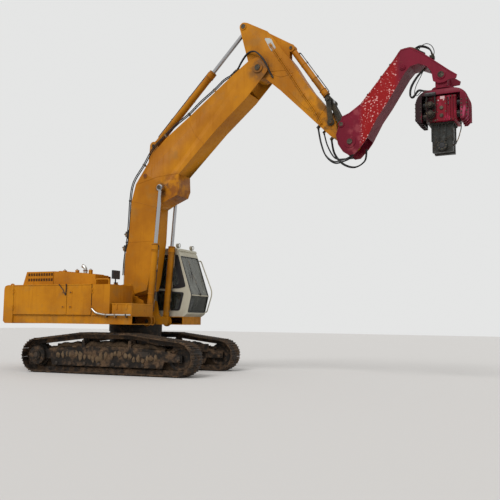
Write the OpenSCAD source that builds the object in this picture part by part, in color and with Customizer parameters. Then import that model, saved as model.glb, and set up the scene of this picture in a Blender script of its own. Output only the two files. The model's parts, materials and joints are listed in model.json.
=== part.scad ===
// Pile driver rig: a tracked carrier with boom and stick, a gooseneck and a
// vibratory hammer. Millimetres. X forward along the boom, Y left, Z up.
// The boom side's outlines are drawn in X and Z from the slewing axis.

/* [Undercarriage] */
// Overall length of a track over its grousers
track_l = 4400; // [4200:50:4700]
// Distance between the middles of the two tracks
gauge = 2380; // [2200:10:2500]
// Width of a shoe
shoe_w = 600; // [500:50:600]
// Height of the track over its end wheels
end_h = 790; // [760:10:820]
// Height of the track over its carrier rollers
mid_h = 940; // [900:10:960]
// Distance between the two carrier rollers of a side
carrier_gap = 1200; // [1000:50:1400]
// Number of shoes in a loop
shoe_n = 49; // [45:1:52]
// Thickness of a shoe plate
shoe_t = 20; // [16:1:24]
// Height of a grouser bar
grouser_h = 25; // [18:1:30]
// Height of the chain links under the shoes
link_h = 95; // [85:1:105]
// Width of the chain
link_w = 190; // [170:5:210]
// Radius of a bottom roller
roller_r = 80; // [70:1:90]
// Number of bottom rollers of a side
roller_n = 8; // [6:1:9]
// Angle of the tracks under the house as parked
track_yaw = 6; // [0:1:10]
// Width of a side frame
side_frame_w = 330; // [300:10:380]
// Radius of the slewing ring
slew_r = 640; // [600:10:680]
// Height of the slewing ring's lower face
slew_z = 960; // [940:10:990]

/* [House] */
// Width of the house over its doors
house_w = 2760; // [2700:10:2800]
// Height of the underside of the deck
deck_z = 1130; // [1110:10:1160]
// Height of the deck's top
deck_top = 1330; // [1310:10:1360]
// Front edge of the deck from the slewing axis
deck_front = 1060; // [1000:10:1100]
// Height of the side doors' top
side_top = 2050; // [2000:10:2100]
// Height of the hood's top
hood_top = 2400; // [2350:10:2450]
// Swing radius of the counterweight's back
tail_r = 3280; // [3200:10:3350]
// Depth of the counterweight behind the rear seam
cw_depth = 610; // [560:10:660]
// Thickness of the counterweight's back wall
cw_back_t = 280; // [240:10:320]
// Thickness of the door skins
skin_t = 10; // [6:1:14]
// Gap between neighbouring panels
panel_gap = 12; // [8:1:16]
// Half width of the hood
hood_half = 950; // [900:10:1000]

/* [Cab] */
// Right wall of the cab, left of the boom
cab_right = 475; // [465:5:500]
// Left wall of the cab
cab_left = 1380; // [1350:5:1400]
// Height of the cab's roof
cab_top = 3000; // [2950:10:3050]
// Back of the cab, behind the slewing axis
cab_back = 750; // [700:10:800]
// Wall thickness of the cab
cab_t = 20; // [18:1:28]

/* [Boom] */
// Width of the boom
boom_w = 540; // [520:5:550]
// Thickness of the boom's side plates
boom_side_t = 14; // [12:1:18]
// Thickness of the boom's top and bottom plates
boom_flange_t = 16; // [12:1:20]
// Radius of the boom's tip round the stick pin
tip_r = 255; // [240:5:270]
// Radius of the boom's foot and stick pins
big_pin_r = 50; // [45:1:55]

/* [Stick] */
// Width of the stick
stick_w = 400; // [380:5:410]
// Thickness of the stick's side plates
stick_side_t = 12; // [10:1:16]
// Thickness of the stick's top and bottom plates
stick_flange_t = 12; // [10:1:16]

/* [Cylinders] */
// Distance from the middle plane to each boom cylinder
boom_cyl_y = 368; // [365:1:372]
// Barrel radius of a boom cylinder
boom_barrel_r = 76; // [70:1:78]
// Rod radius of a boom cylinder
boom_rod_r = 44; // [40:1:46]
// Length of a boom cylinder's rod that shows as parked
boom_rod_show = 1350; // [1300:10:1400]
// Barrel radius of the stick's cylinder
arm_barrel_r = 84; // [78:1:90]
// Rod radius of the stick's cylinder
arm_rod_r = 48; // [44:1:52]
// Length of that cylinder's rod that shows as parked
arm_rod_show = 1280; // [1230:10:1330]
// Barrel radius of the curl cylinder
curl_barrel_r = 68; // [62:1:72]
// Rod radius of the curl cylinder
curl_rod_r = 40; // [36:1:42]
// Length of the curl cylinder's rod that shows as parked
curl_rod_show = 175; // [160:5:200]
// Radius of a cylinder's pins
cyl_pin_r = 38; // [34:1:40]
// Running gap between a pin and its eye
pin_gap = 1; // [0.5:0.5:2]
// Side gap between an eye and its bracket
side_gap = 8; // [6:1:10]

/* [Gooseneck] */
// Outside width of the gooseneck
neck_w = 490; // [480:5:500]
// Thickness of its side plates
neck_side_t = 22; // [18:1:28]
// Thickness of its top and bottom plates
neck_flange_t = 20; // [16:1:24]

/* [Hammer] */
// Width of the hammer over its side housings
hammer_w = 1060; // [1000:10:1100]
// Depth of the hammer
hammer_d = 640; // [600:10:700]
// Height of the hammer's underside
hammer_bottom = 5290; // [5250:10:5330]
// Height of the hammer's top plate
hammer_top = 5990; // [5950:10:6020]
// Width of the clamp
clamp_w = 410; // [390:10:430]
// Depth of the clamp
clamp_d = 340; // [320:10:360]
// Height of the clamp's lower end
clamp_bottom = 4700; // [4650:10:4750]
// Depth of the slot that takes the pile's wall
slot_h = 260; // [240:10:280]
// Width of that slot
slot_w = 110; // [100:5:120]

/* [Hidden] */
$fn = 48;

// Pins in X and Z from the slewing axis
boom_foot = [-50, 1970];
boom_cyl_base = [620, 1210];
boom_cyl_pin = [850, 4400];
arm_cyl_base = [440, 5530];
stick_pivot = [3350, 7040];
arm_cyl_pin = [2930, 8120];
curl_base = [4090, 7460];
rocker_pin = [5095, 5570];
curl_pin = [5030, 6100];
link_pin = [5340, 5490];
neck_pivot = [5530, 5090];
swing_pin = [7460, 6290];

// The slewing axis stands where the whole length is centred on the origin
hammer_front = swing_pin[0] + hammer_w / 2;
slew_x = (tail_r - hammer_front) / 2;

// Helpers

function arc(c, r, a0, a1, n = 8) =
    [for (i = [0:n]) c + r * [cos(a0 + (a1 - a0) * i / n), sin(a0 + (a1 - a0) * i / n)]];
function unit(v) = v / norm(v);
function left_of(v) = [-v[1], v[0]];
// Each corner of a closed outline moved inwards by t, anticlockwise outline
function inset(p, t) = [for (i = [0:len(p) - 1])
    let (n1 = left_of(unit(p[i] - p[(i + len(p) - 1) % len(p)])),
         n2 = left_of(unit(p[(i + 1) % len(p)] - p[i])))
    p[i] + t * (n1 + n2) / (1 + n1 * n2)];
function angle_of(v) = atan2(v[1], v[0]);

module upper() {
    translate([slew_x, 0, 0]) children();
}
module lower() {
    translate([slew_x, 0, 0]) rotate([0, 0, track_yaw]) children();
}
module both_sides() {
    children();
    mirror([0, 1, 0]) children();
}
// An outline drawn in X and Z, made solid from y0 to y1
module slab(y0, y1) {
    translate([0, y1, 0]) rotate([90, 0, 0]) linear_extrude(y1 - y0) children();
}
// A round bar along Y at a point of the X and Z plane
module disc(c, r, y0, y1) {
    translate([c[0], y0, c[1]]) rotate([-90, 0, 0]) cylinder(h = y1 - y0, r = r);
}
module ring(c, r, r_in, y0, y1) {
    difference() {
        disc(c, r, y0, y1);
        disc(c, r_in, y0 - 1, y1 + 1);
    }
}
module block(x0, x1, y0, y1, z0, z1) {
    translate([x0, y0, z0]) cube([x1 - x0, y1 - y0, z1 - z0]);
}
// A piece drawn along +X from its pin, laid from one point to another
module along(from, to, y) {
    translate([from[0], y, from[1]]) rotate([0, -angle_of(to - from), 0]) children();
}
// A bar of eight sides swept along points, a ring at each point
function tangent(p, i) = unit(p[min(i + 1, len(p) - 1)] - p[max(i - 1, 0)]);
function frame_side(t) = unit(cross(t, abs(t[1]) < 0.9 ? [0, 1, 0] : [1, 0, 0]));
function tube_points(p, r) = [for (i = [0:len(p) - 1])
    let (t = tangent(p, i), u = frame_side(t), v = cross(t, u))
    for (k = [0:7]) p[i] + r * (u * cos(k * 45) + v * sin(k * 45))];
module swept(p, r) {
    n = len(p);
    polyhedron(points = tube_points(p, r), faces = concat(
        [[for (k = [0:7]) k]],
        [for (i = [0:n - 2], k = [0:7])
            [i * 8 + k, (i + 1) * 8 + k, (i + 1) * 8 + (k + 1) % 8, i * 8 + (k + 1) % 8]],
        [[for (k = [7:-1:0]) (n - 1) * 8 + k]]), convexity = 8);
}
// A bent bar: its inner corners are cut on both sides
bend_cut = 35;
module bent_bar(points, r) {
    last = len(points) - 1;
    swept(concat([points[0]], [for (i = [1:last - 1], q = [points[i - 1], points[i + 1]])
        points[i] + bend_cut * unit(q - points[i])], [points[last]]), r);
}
// Steps of a turned piece along Y: each row is a distance from c and the radius from there on
module turned(c, steps) {
    for (i = [0:len(steps) - 2]) disc(c, steps[i][1], steps[i][0], steps[i + 1][0]);
}

// Undercarriage

end_r = end_h / 2;
path_off = shoe_t + grouser_h;
path_r = end_r - path_off;
wheel_x = track_l / 2 - end_r;
carrier_r = 70;
carrier_x = carrier_gap / 2;
carrier_path_r = carrier_r + link_h;
carrier_z = mid_h - path_off - carrier_path_r;
rail_z = path_off + link_h;
wheel_gap = 2;
roller_gap = 0.5;
to_carrier = [carrier_x - wheel_x, carrier_z - end_r];
tangent_a = angle_of(to_carrier) - acos((path_r - carrier_path_r) / norm(to_carrier));
run_bottom = 2 * wheel_x;
run_end = path_r * (tangent_a + 90) * PI / 180;
run_slope = sqrt(to_carrier * to_carrier - pow(path_r - carrier_path_r, 2));
run_carrier = carrier_path_r * (90 - tangent_a) * PI / 180;
half_loop = run_bottom / 2 + run_end + run_slope + run_carrier + carrier_x;
loop_l = 2 * half_loop;
slope_start = [wheel_x, end_r] + path_r * [cos(tangent_a), sin(tangent_a)];
slope_dir = [-sin(tangent_a), cos(tangent_a)];

// Point and outward angle on the front half of the loop, from the bottom's middle
function front_path(s) =
    let (s1 = s - run_bottom / 2, s2 = s1 - run_end, s3 = s2 - run_slope, s4 = s3 - run_carrier)
    s1 < 0 ? [[s, path_off], -90]
    : s2 < 0 ? let (a = -90 + s1 / path_r * 180 / PI)
        [[wheel_x, end_r] + path_r * [cos(a), sin(a)], a]
    : s3 < 0 ? [slope_start + s2 * slope_dir, tangent_a]
    : s4 < 0 ? let (a = tangent_a + s3 / carrier_path_r * 180 / PI)
        [[carrier_x, carrier_z] + carrier_path_r * [cos(a), sin(a)], a]
    : [[carrier_x - s4, carrier_z + carrier_path_r], 90];
function track_path(s) =
    s <= half_loop ? front_path(s)
    : let (f = front_path(loop_l - s)) [[-f[0][0], f[0][1]], 180 - f[1]];
// Corners of one shoe: place along the pitch and height over the chain
pitch = loop_l / shoe_n;
bar_w = 16;
shoe_profile = [[0.03, 0], [0.03, shoe_t], [0.2, shoe_t], [0.23, path_off], [0.23 + bar_w / pitch, path_off],
    [0.34, shoe_t], [0.66, shoe_t], [0.69, path_off], [0.69 + bar_w / pitch, path_off], [0.8, shoe_t],
    [0.97, shoe_t], [0.97, 0]];
function shoe_points(i) = let (f = track_path((i + 0.5) * pitch), n = [cos(f[1]), sin(f[1])],
    t = [-n[1], n[0]])
    [for (q = shoe_profile) f[0] + n * q[1] + t * (q[0] - 0.5) * pitch];
loop_n = 150;
function loop_ring(off) = [for (i = [0:loop_n - 1])
    let (f = track_path(i * loop_l / loop_n)) f[0] + off * [cos(f[1]), sin(f[1])]];

link_t = 34;
module track_loop() {
    ring_t = 4;
    slab(-shoe_w / 2, shoe_w / 2) difference() {
        polygon([for (i = [0:shoe_n - 1]) each shoe_points(i)]);
        polygon(loop_ring(-ring_t));
    }
    both_sides() slab(link_w / 2 - link_t, link_w / 2) difference() {
        polygon(loop_ring(-1));
        polygon(loop_ring(-link_h));
    }
}
module track_right() {
    color("#4a3d30") lower() translate([0, -gauge / 2, 0]) track_loop();
}
module track_left() {
    color("#4a3d30") lower() translate([0, gauge / 2, 0]) track_loop();
}
wheel_r = path_r - link_h - wheel_gap;
flange_y = link_w / 2 - link_t - 8;
module sprockets() {
    hub_r = 215;
    tooth_n = 23;
    tooth_h = link_h * 0.45;
    tooth_y = flange_y * 0.6;
    at = [-wheel_x, end_r];
    color("#3a3632") lower() both_sides() translate([0, gauge / 2, 0]) {
        disc(at, wheel_r, -link_w / 2, link_w / 2);
        // Teeth between the chain's two rows of links
        slab(-tooth_y, tooth_y) translate(at)
            polygon([for (i = [0:tooth_n - 1], q = [[-0.3, 0], [-0.14, 1], [0.14, 1], [0.3, 0]])
                let (a = (i + q[0]) * 360 / tooth_n) (wheel_r - 2 + q[1] * tooth_h) * [cos(a), sin(a)]]);
        // Stepped drive housing outside, motor inside
        turned(at, [[side_frame_w / 2, hub_r], [side_frame_w / 2 + 70, hub_r - 40],
            [shoe_w / 2 - 60, hub_r - 100], [shoe_w / 2 - 30, 0]]);
        turned(at, [[-shoe_w / 2 - 40, hub_r - 90], [-shoe_w / 2 + 20, hub_r - 30], [-side_frame_w / 2, 0]]);
    }
}
module idlers() {
    dish = 26;
    rim = 60;
    at = [wheel_x, end_r];
    color("#3a3632") lower() both_sides() translate([0, gauge / 2, 0]) {
        disc(at, wheel_r + link_h * 0.4, -flange_y, flange_y);
        difference() {
            disc(at, wheel_r, -link_w / 2, link_w / 2);
            both_sides() ring(at, wheel_r - rim, idler_axle_r + 45, link_w / 2 - dish, link_w / 2 + 1);
        }
        disc(at, idler_axle_r, -side_frame_w / 2 - 10, side_frame_w / 2 + 10);
    }
}
roller_z = rail_z + roller_r + roller_gap;
roller_step = (2 * wheel_x - 2 * end_r - 200) / (roller_n - 1);
roller_x = roller_step * (roller_n - 1) / 2;
roller_flange = 14;
idler_axle_r = 55;
module track_rollers() {
    color("#3a3632") lower() both_sides() translate([0, gauge / 2, 0])
        for (i = [0:roller_n - 1]) {
            at = [i * roller_step - roller_x, roller_z];
            disc(at, roller_r, -link_w / 2, link_w / 2);
            both_sides() disc(at, roller_r + roller_flange, flange_y - 22, flange_y);
        }
}
module carrier_rollers() {
    color("#3a3632") lower() both_sides() translate([0, gauge / 2, 0])
        for (x = [-carrier_x, carrier_x]) {
            disc([x, carrier_z], carrier_r - wheel_gap, -link_w / 2, link_w / 2);
            both_sides() disc([x, carrier_z], carrier_r + roller_flange, flange_y - 22, flange_y);
        }
}
side_frame_z1 = 620;
frame_plate = 14;
module side_frames() {
    beam_front = wheel_x - 320;
    beam_back = wheel_x - 300;
    beam_z0 = roller_z + roller_r + roller_flange + 6;
    beam = [[-beam_back, beam_z0], [beam_front, beam_z0], [beam_front, side_frame_z1 - 60],
        [carrier_x, side_frame_z1], [-carrier_x, side_frame_z1], [-beam_back, side_frame_z1 - 60]];
    cheek_y = link_w / 2 + 1;
    wide = side_frame_w / 2;
    color("#33302c") lower() both_sides() translate([0, gauge / 2, 0]) {
        // Hollow beam between the rollers and the upper run
        difference() {
            slab(-wide, wide) polygon(beam);
            slab(-wide + frame_plate, wide - frame_plate) polygon(inset(beam, frame_plate));
            block(-carrier_x, carrier_x, -60, 60, side_frame_z1 - frame_plate - 1, side_frame_z1 + 1);
        }
        for (s = [0, 1]) mirror([0, s, 0]) {
            // Cheeks that carry the bottom rollers, the idler and the drive
            slab(cheek_y, wide) polygon([[-roller_x - 110, roller_z - 45], [roller_x + 110, roller_z - 45],
                [roller_x + 150, beam_z0 + 1], [-roller_x - 150, beam_z0 + 1]]);
            slab(cheek_y, wide) difference() {
                polygon([[beam_front - 1, end_r - 75], [wheel_x + 90, end_r - 75], [wheel_x + 90, end_r + 75],
                    [beam_front - 1, side_frame_z1 - 75]]);
                translate([wheel_x, end_r]) circle(r = idler_axle_r + 1);
            }
            slab(cheek_y, wide) polygon([[-beam_back + 1, end_r + 140], [-beam_back + 1, end_r - 75],
                [-wheel_x, end_r - 75], [-wheel_x, end_r + 75], [-beam_back + 1, side_frame_z1 - 75]]);
            // Posts of the carrier rollers
            for (x = [-carrier_x, carrier_x])
                block(x - 40, x + 40, cheek_y, wide, side_frame_z1 - 1, carrier_z + 30);
        }
    }
}
centre_top = slew_z;
leg_z = 460;
leg_h = 200;
leg_w = 380;
module centre_frame() {
    plate = 20;
    core_z = 500;
    core_r = slew_r - 20;
    inner_y = gauge / 2 - side_frame_w / 2;
    color("#2f2c29") lower() {
        difference() {
            translate([0, 0, core_z]) cylinder(h = centre_top - core_z, r = core_r);
            translate([0, 0, core_z + plate])
                cylinder(h = centre_top - core_z - 2 * plate, r = core_r - plate);
            translate([0, 0, core_z - 1]) cylinder(h = plate + 2, r = 150);
        }
        for (a = [40, 140, 220, 320]) {
            leg_l = inner_y / abs(sin(a));
            difference() {
                rotate([0, 0, a]) translate([core_r - 90, -leg_w / 2, leg_z])
                    cube([leg_l - core_r + 400, leg_w, leg_h]);
                rotate([0, 0, a]) translate([core_r - 91, -leg_w / 2 + plate, leg_z + plate])
                    cube([leg_l, leg_w - 2 * plate, leg_h - 2 * plate]);
                both_sides() translate([-2500, inner_y, 0]) cube([5000, 1000, 1500]);
                translate([0, 0, leg_z - 1]) cylinder(h = 600, r = core_r - plate);
            }
        }
    }
}
ring_gap = 0.5;
module slew_ring() {
    color("#57534d") lower() translate([0, 0, slew_z]) difference() {
        cylinder(h = deck_z - slew_z - ring_gap, r = slew_r);
        translate([0, 0, -1]) cylinder(h = deck_z - slew_z + 2, r = slew_r - 110);
    }
}

// House

house_y = house_w / 2;
seam_back = tail_r - cw_depth;
main_y0 = boom_w / 2 + 12;
main_t = 30;
eye_w = 2 * (boom_cyl_y - main_y0 - main_t - side_gap);
outer_y0 = boom_cyl_y + eye_w / 2 + side_gap;
lug_r = 125;
well_y = outer_y0 + main_t;
tank_front = 220;
step_front = 820;
module house_deck() {
    plate = 16;
    rib_t = 16;
    main_outline = concat([[-1500, deck_top - 1], [-1500, deck_top + 60], [-560, 1780], [-320, 2070]],
        arc(boom_foot, 150, 120, 45, 4),
        [[140, 1800], [400, 1700], [470, 1400]],
        arc(boom_cyl_base, lug_r, 130, -60, 10), [[640, deck_z], [400, deck_z], [300, deck_top - 1]]);
    color("#a8641a") upper() {
        // Floor plate with a skirt all round
        difference() {
            block(-seam_back, deck_front, -house_y + 30, house_y - 30, deck_z, deck_top);
            block(-seam_back + rib_t, deck_front - rib_t, -house_y + 30 + rib_t, house_y - 30 - rib_t,
                deck_z + plate, deck_top - plate);
            // The front right corner is cut back to the step
            block(step_front, deck_front + 1, -house_y, -well_y, deck_z - 1, deck_top + 1);
            // Room for the boom cylinders and the boom's foot
            block(300, deck_front + 1, -well_y - 1, well_y + 1, deck_z - 1, deck_top + 1);
        }
        both_sides() {
            difference() {
                slab(main_y0, main_y0 + main_t) polygon(main_outline);
                disc(boom_cyl_base, cyl_pin_r, 0, 1000);
            }
            difference() {
                union() {
                    disc(boom_cyl_base, lug_r, outer_y0, outer_y0 + main_t);
                    block(300 - rib_t, boom_cyl_base[0], outer_y0, outer_y0 + main_t, deck_z, deck_z + 180);
                }
                disc(boom_cyl_base, cyl_pin_r, 0, 1000);
            }
            disc(boom_cyl_base, cyl_pin_r, main_y0, outer_y0 + main_t + 12);
        }
        disc(boom_foot, big_pin_r, -main_y0 - main_t - pin_cap_t, main_y0 + main_t + pin_cap_t);
        both_sides() disc(boom_foot, big_pin_r + 34, main_y0 + main_t - 1, main_y0 + main_t + pin_cap_t);
    }
}
pin_cap_t = 16;
door_seam = 1010;
door_end = 290;
door_z0 = deck_top + 4;
door_depth = 60;
hinge_r = 11;
knuckle_l = 40;
leaf_t = 7;
leaf_l = 46;
// One hinge along Z at the origin, over a face at -hinge_r: the middle knuckle moves, its leaf towards +X
module hinge_part(moving) {
    for (k = moving ? [0] : [-1, 1]) translate([0, 0, k * (knuckle_l + 1) - knuckle_l / 2]) {
        cylinder(h = knuckle_l, r = hinge_r);
        translate([moving ? 0 : -leaf_l, -hinge_r - 1, 0]) cube([leaf_l, leaf_t, knuckle_l]);
    }
}
hinge_heights = [deck_top + 160, side_top - 160];
rear_hinge_x = -seam_back + panel_gap / 2;
front_hinge_x = -door_end;
// Hinges of a side door; behind is true where the door lies behind its hinge
module door_hinges(x, side, behind, moving) {
    for (z = hinge_heights) translate([x, side * (house_y + hinge_r), z])
        mirror([behind ? 1 : 0, 0, 0]) mirror([0, side < 0 ? 1 : 0, 0]) hinge_part(moving);
}
module counterweight() {
    z0 = deck_z - 10;
    side_t = 320;
    floor_t = 90;
    edge = 55;
    eye_r = 55;
    eye_t = 40;
    color("#c47a1e") upper() {
        difference() {
            // A casting turned about the slewing axis, cut to the house's width
            intersection() {
                rotate_extrude() polygon([[0, z0], [tail_r - edge, z0], [tail_r, z0 + edge],
                    [tail_r, side_top - 2 * edge], [tail_r - edge / 3, side_top - edge * 2 / 3],
                    [tail_r - edge, side_top - edge / 4], [tail_r - 2 * edge, side_top], [0, side_top]]);
                block(-tail_r, -seam_back, -house_y, house_y, z0, side_top);
            }
            // Cavity for the frame's tail and the engine bay
            block(-tail_r + cw_back_t, -seam_back + 1, -house_y + side_t, house_y - side_t,
                z0 + floor_t, side_top - floor_t);
        }
        for (side = [-1, 1]) door_hinges(rear_hinge_x, side, false, false);
        // Lifting eyes on its top
        both_sides() difference() {
            slab(house_y - side_t, house_y - side_t + eye_t) translate([-tail_r + cw_back_t, side_top]) {
                circle(r = eye_r);
                translate([-eye_r, -10]) square([2 * eye_r, 10]);
            }
            disc([-tail_r + cw_back_t, side_top + 12], eye_r * 0.45, 0, house_y);
            block(-tail_r, -seam_back, 0, house_y, side_top - 2 * eye_r, side_top - 9);
        }
    }
}
module side_panel(x0, x1, side) {
    rim = 24;
    y0 = house_y - door_depth;
    mirror([0, side < 0 ? 1 : 0, 0]) difference() {
        block(x0, x1, y0, house_y, door_z0, side_top);
        block(x0 + rim, x1 - rim, y0 - 1, house_y - skin_t, door_z0 + rim, side_top - rim);
    }
}
module side_door_rear() {
    color("#c8801f") upper() {
        side_panel(-seam_back + panel_gap, -door_seam - panel_gap, -1);
        door_hinges(rear_hinge_x, -1, false, true);
    }
}
module side_door_front() {
    color("#c8801f") upper() {
        side_panel(-door_seam, front_hinge_x - panel_gap, -1);
        door_hinges(front_hinge_x, -1, true, true);
    }
}
module side_door_left() {
    color("#c8801f") upper() {
        side_panel(-seam_back + panel_gap, -cab_back - 160, 1);
        door_hinges(rear_hinge_x, 1, false, true);
    }
}
seat_gap = 0.3;
post_in = house_y - door_depth - seat_gap;
bay_back = -seam_back;
bay_left_front = -cab_back - 150;
module bodywork() {
    t = 8;
    post = 60;
    front = -door_end;
    roof_z = side_top - t;
    color("#bd781d") upper() {
        difference() {
            block(bay_back, front, -post_in, post_in, roof_z, side_top);
            block(bay_back + 150, -1900, -hood_half + 60, hood_half - 60, roof_z - 1, side_top + 1);
            block(-1500, front + 1, -well_y + t, house_y, roof_z - 1, side_top + 1);
        }
        block(-1501, bay_left_front, well_y - t, post_in, roof_z, side_top);
        // Walls in front of the bays and beside the boom
        block(front - t, front, -post_in, -well_y, deck_top, roof_z);
        block(bay_left_front - t, bay_left_front, well_y, post_in, deck_top, roof_z);
        both_sides() block(-1500, -1500 + post, well_y - t, well_y, deck_top, roof_z);
        block(-1500, front, -well_y, -well_y + t, deck_top, roof_z);
        block(-1500, bay_left_front, well_y - t, well_y, deck_top, roof_z);
        // Corner posts behind the doors' edges
        both_sides() block(bay_back, bay_back + post, post_in - t, post_in, deck_top, roof_z);
        block(-door_seam - post, -door_seam + post, -post_in, -post_in + t, deck_top, roof_z);
    }
}
hood_split = -1810;
hood_rake = 120;
// Knuckles along Y on the two covers' top edges
module hood_hinges(moving) {
    for (y = [-hood_half + 250, hood_half - 250])
        translate([hood_split, y, hood_top + hinge_r])
            rotate([90, 0, 0]) mirror([1, 0, 0]) hinge_part(moving);
}
module engine_hood() {
    x0 = -seam_back - hood_rake;
    x1 = hood_split - panel_gap / 2;
    t = 8;
    slots = 10;
    slot_l = 60;
    slot_pitch = (x1 - x0 - hood_rake - 50) / slots;
    color("#cf8a22") upper() {
        difference() {
            slab(-hood_half, hood_half) polygon([[x0, side_top + seat_gap], [x1, side_top + seat_gap],
                [x1, hood_top], [x0 + hood_rake, hood_top]]);
            slab(-hood_half + t, hood_half - t) polygon([[x0 + 2 * t, side_top], [x1 - t, side_top],
                [x1 - t, hood_top - t], [x0 + hood_rake + t, hood_top - t]]);
            for (i = [0:slots - 1], row = [0:1])
                translate([x0 + hood_rake + 50 + i * slot_pitch, -hood_half - 1, side_top + 110 + row * 130])
                    cube([min(slot_l, slot_pitch * 0.8), t + 2, 70]);
        }
        hood_hinges(true);
    }
}
stack_x = -1120;
stack_y = -600;
stack_r = 50;
module pump_cover() {
    x0 = hood_split + panel_gap / 2;
    x1 = -540;
    t = 14;
    fall = 100;
    color("#d08c24") upper() {
        difference() {
            union() {
                slab(-hood_half, hood_half) polygon([[x0, side_top], [x1 + 20, side_top],
                    [x1, hood_top - fall], [x0 + 40, hood_top], [x0, hood_top]]);
                // Raised lid with latches along its outer edge
                slab(-hood_half + 50, -well_y - 60) polygon([[x0 + 110, hood_top - fall],
                    [x1 - 60, hood_top - fall], [x1 - 80, hood_top - fall + 22], [x0 + 130, hood_top + 14],
                    [x0 + 110, hood_top - 8]]);
                for (x = [x0 + 260, x0 + 640, x1 - 220])
                    block(x, x + 70, -hood_half + 20, -hood_half + 90, hood_top - fall, hood_top + 20);
            }
            slab(-hood_half + t, hood_half - t) polygon([[x0 + t, side_top - 1], [x1 - t, side_top - 1],
                [x1 - t, hood_top - fall - t], [x0 + 40, hood_top - t], [x0 + t, hood_top - t]]);
            block(-1510, x1 + 30, -well_y + 16, hood_half + 1, side_top - 2, hood_top + 1);
            translate([stack_x, stack_y, side_top]) cylinder(h = hood_top, r = stack_r + 10);
        }
        hood_hinges(false);
    }
}
// A pipe up through the cover and an open elbow that points back
module exhaust() {
    elbow_r = 105;
    bend = 75;
    pipe_t = 5;
    elbow_z = hood_top + 40;
    color("#b9b2a6") upper() translate([stack_x, stack_y, 0]) {
        translate([0, 0, side_top]) cylinder(h = elbow_z - side_top, r = stack_r);
        translate([-elbow_r, 0, elbow_z - 1]) rotate([90, 0, 0]) rotate_extrude(angle = bend)
            translate([elbow_r, 0]) difference() {
                circle(r = stack_r - 6);
                circle(r = stack_r - 6 - pipe_t);
            }
    }
}
module engine_block() {
    t = 20;
    x0 = -seam_back + 390;
    x1 = x0 + 680;
    y0 = -620;
    y1 = 480;
    z1 = side_top - 60;
    color("#5c5c58") upper() difference() {
        block(x0, x1, y0, y1, deck_top, z1);
        block(x0 + t, x1 - t, y0 + t, y1 - t, deck_top - 1, z1 - t);
    }
}
module fuel_tank() {
    t = 6;
    x0 = front_hinge_x + panel_gap;
    y1 = -well_y - 30;
    z1 = side_top - 10;
    color("#c47d20") upper() {
        difference() {
            block(x0, tank_front, -house_y, y1, deck_top, z1);
            block(x0 + t, tank_front - t, -house_y + t, y1 - t, deck_top - 1, z1 - t);
        }
        door_hinges(front_hinge_x, -1, true, false);
        // Filler with its cap, and a grab rail along the top's outer edge
        translate([x0 + 130, y1 - 180, z1 - 1]) {
            cylinder(h = 40, r = 60);
            cylinder(h = 62, r = 48);
        }
        bent_bar([[x0 + 60, -house_y + 40, z1 - 2], [x0 + 60, -house_y + 40, z1 + 120],
            [tank_front - 60, -house_y + 40, z1 + 120], [tank_front - 60, -house_y + 40, z1 - 2]], grab_r);
    }
}
grab_r = 14;
module tool_box() {
    t = 6;
    x0 = tank_front + 40;
    x1 = step_front - 20;
    y0 = -house_y + 40;
    y1 = -well_y - 30;
    h = 270;
    lid_t = 24;
    over = 10;
    color("#d08a22") upper() {
        difference() {
            block(x0, x1, y0, y1, deck_top, deck_top + h);
            block(x0 + t, x1 - t, y0 + t, y1 - t, deck_top - 1, deck_top + h - t);
        }
        // Lid that hangs over the box's rim, with two straps
        block(x0, x1 + over, y0 - over, y1, deck_top + h - lid_t, deck_top + h + 4);
        for (x = [x0 + 120, x1 - 150])
            block(x, x + 34, y0 - over - 6, y0 + 1, deck_top + h / 2, deck_top + h - lid_t / 2);
    }
}
// A bent tube beside the step, on three clamps
module side_rail() {
    y = -house_y - 30;
    z = deck_top + 12;
    color("#b8b6ae") upper() {
        bent_bar([[-250, y, z + 140], [-140, y, z + 40], [120, y, z], [step_front - 10, y, z]], 20);
        for (x = [150, 400, 700]) block(x - 15, x + 15, y - 8, y + 59.7, deck_top - 50, deck_top - 20);
        for (x = [150, 400, 700]) block(x - 15, x + 15, y - 8, y + 8, deck_top - 21, z);
    }
}
module side_mirror() {
    color("#2c2d2c") upper() {
        block(60, 110, -1120, -860, side_top + 130, side_top + 330);
        translate([85, -1000, side_top - 9]) cylinder(h = 140, r = 14);
    }
}

// Cab

cab_z0 = deck_top;
cab_outline = [[-cab_back, cab_z0], [1060, cab_z0], [1160, deck_top + 70], [1262, 1860],
    [900, cab_top - 90], [830, cab_top], [-cab_back + 80, cab_top], [-cab_back, cab_top - 90]];
door_x0 = -120;
door_x1 = 760;
cab_hinge_heights = [deck_top + 300, deck_top + 1100];
module cab_hinges(moving) {
    for (z = cab_hinge_heights)
        translate([door_x0 + door_gap / 2, cab_left + hinge_r, z]) hinge_part(moving);
}
door_outline = [[door_x0, deck_top + 90], [door_x1 + 40, deck_top + 90], [door_x1 + 240, 1860],
    [door_x1 - 40, cab_top - 130], [door_x0, cab_top - 130]];
right_window = [[-450, 2060], [760, 2060], [930, 2120], [720, cab_top - 170], [-450, cab_top - 170]];
right_low_window = [[300, 1500], [900, 1500], [1010, 1900], [300, 1960]];
function cab_front_x(z) = z < 1860 ? 1160 + (1262 - 1160) * (z - deck_top - 70) / (1860 - deck_top - 70)
    : 1262 + (900 - 1262) * (z - 1860) / (cab_top - 90 - 1860);
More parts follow.
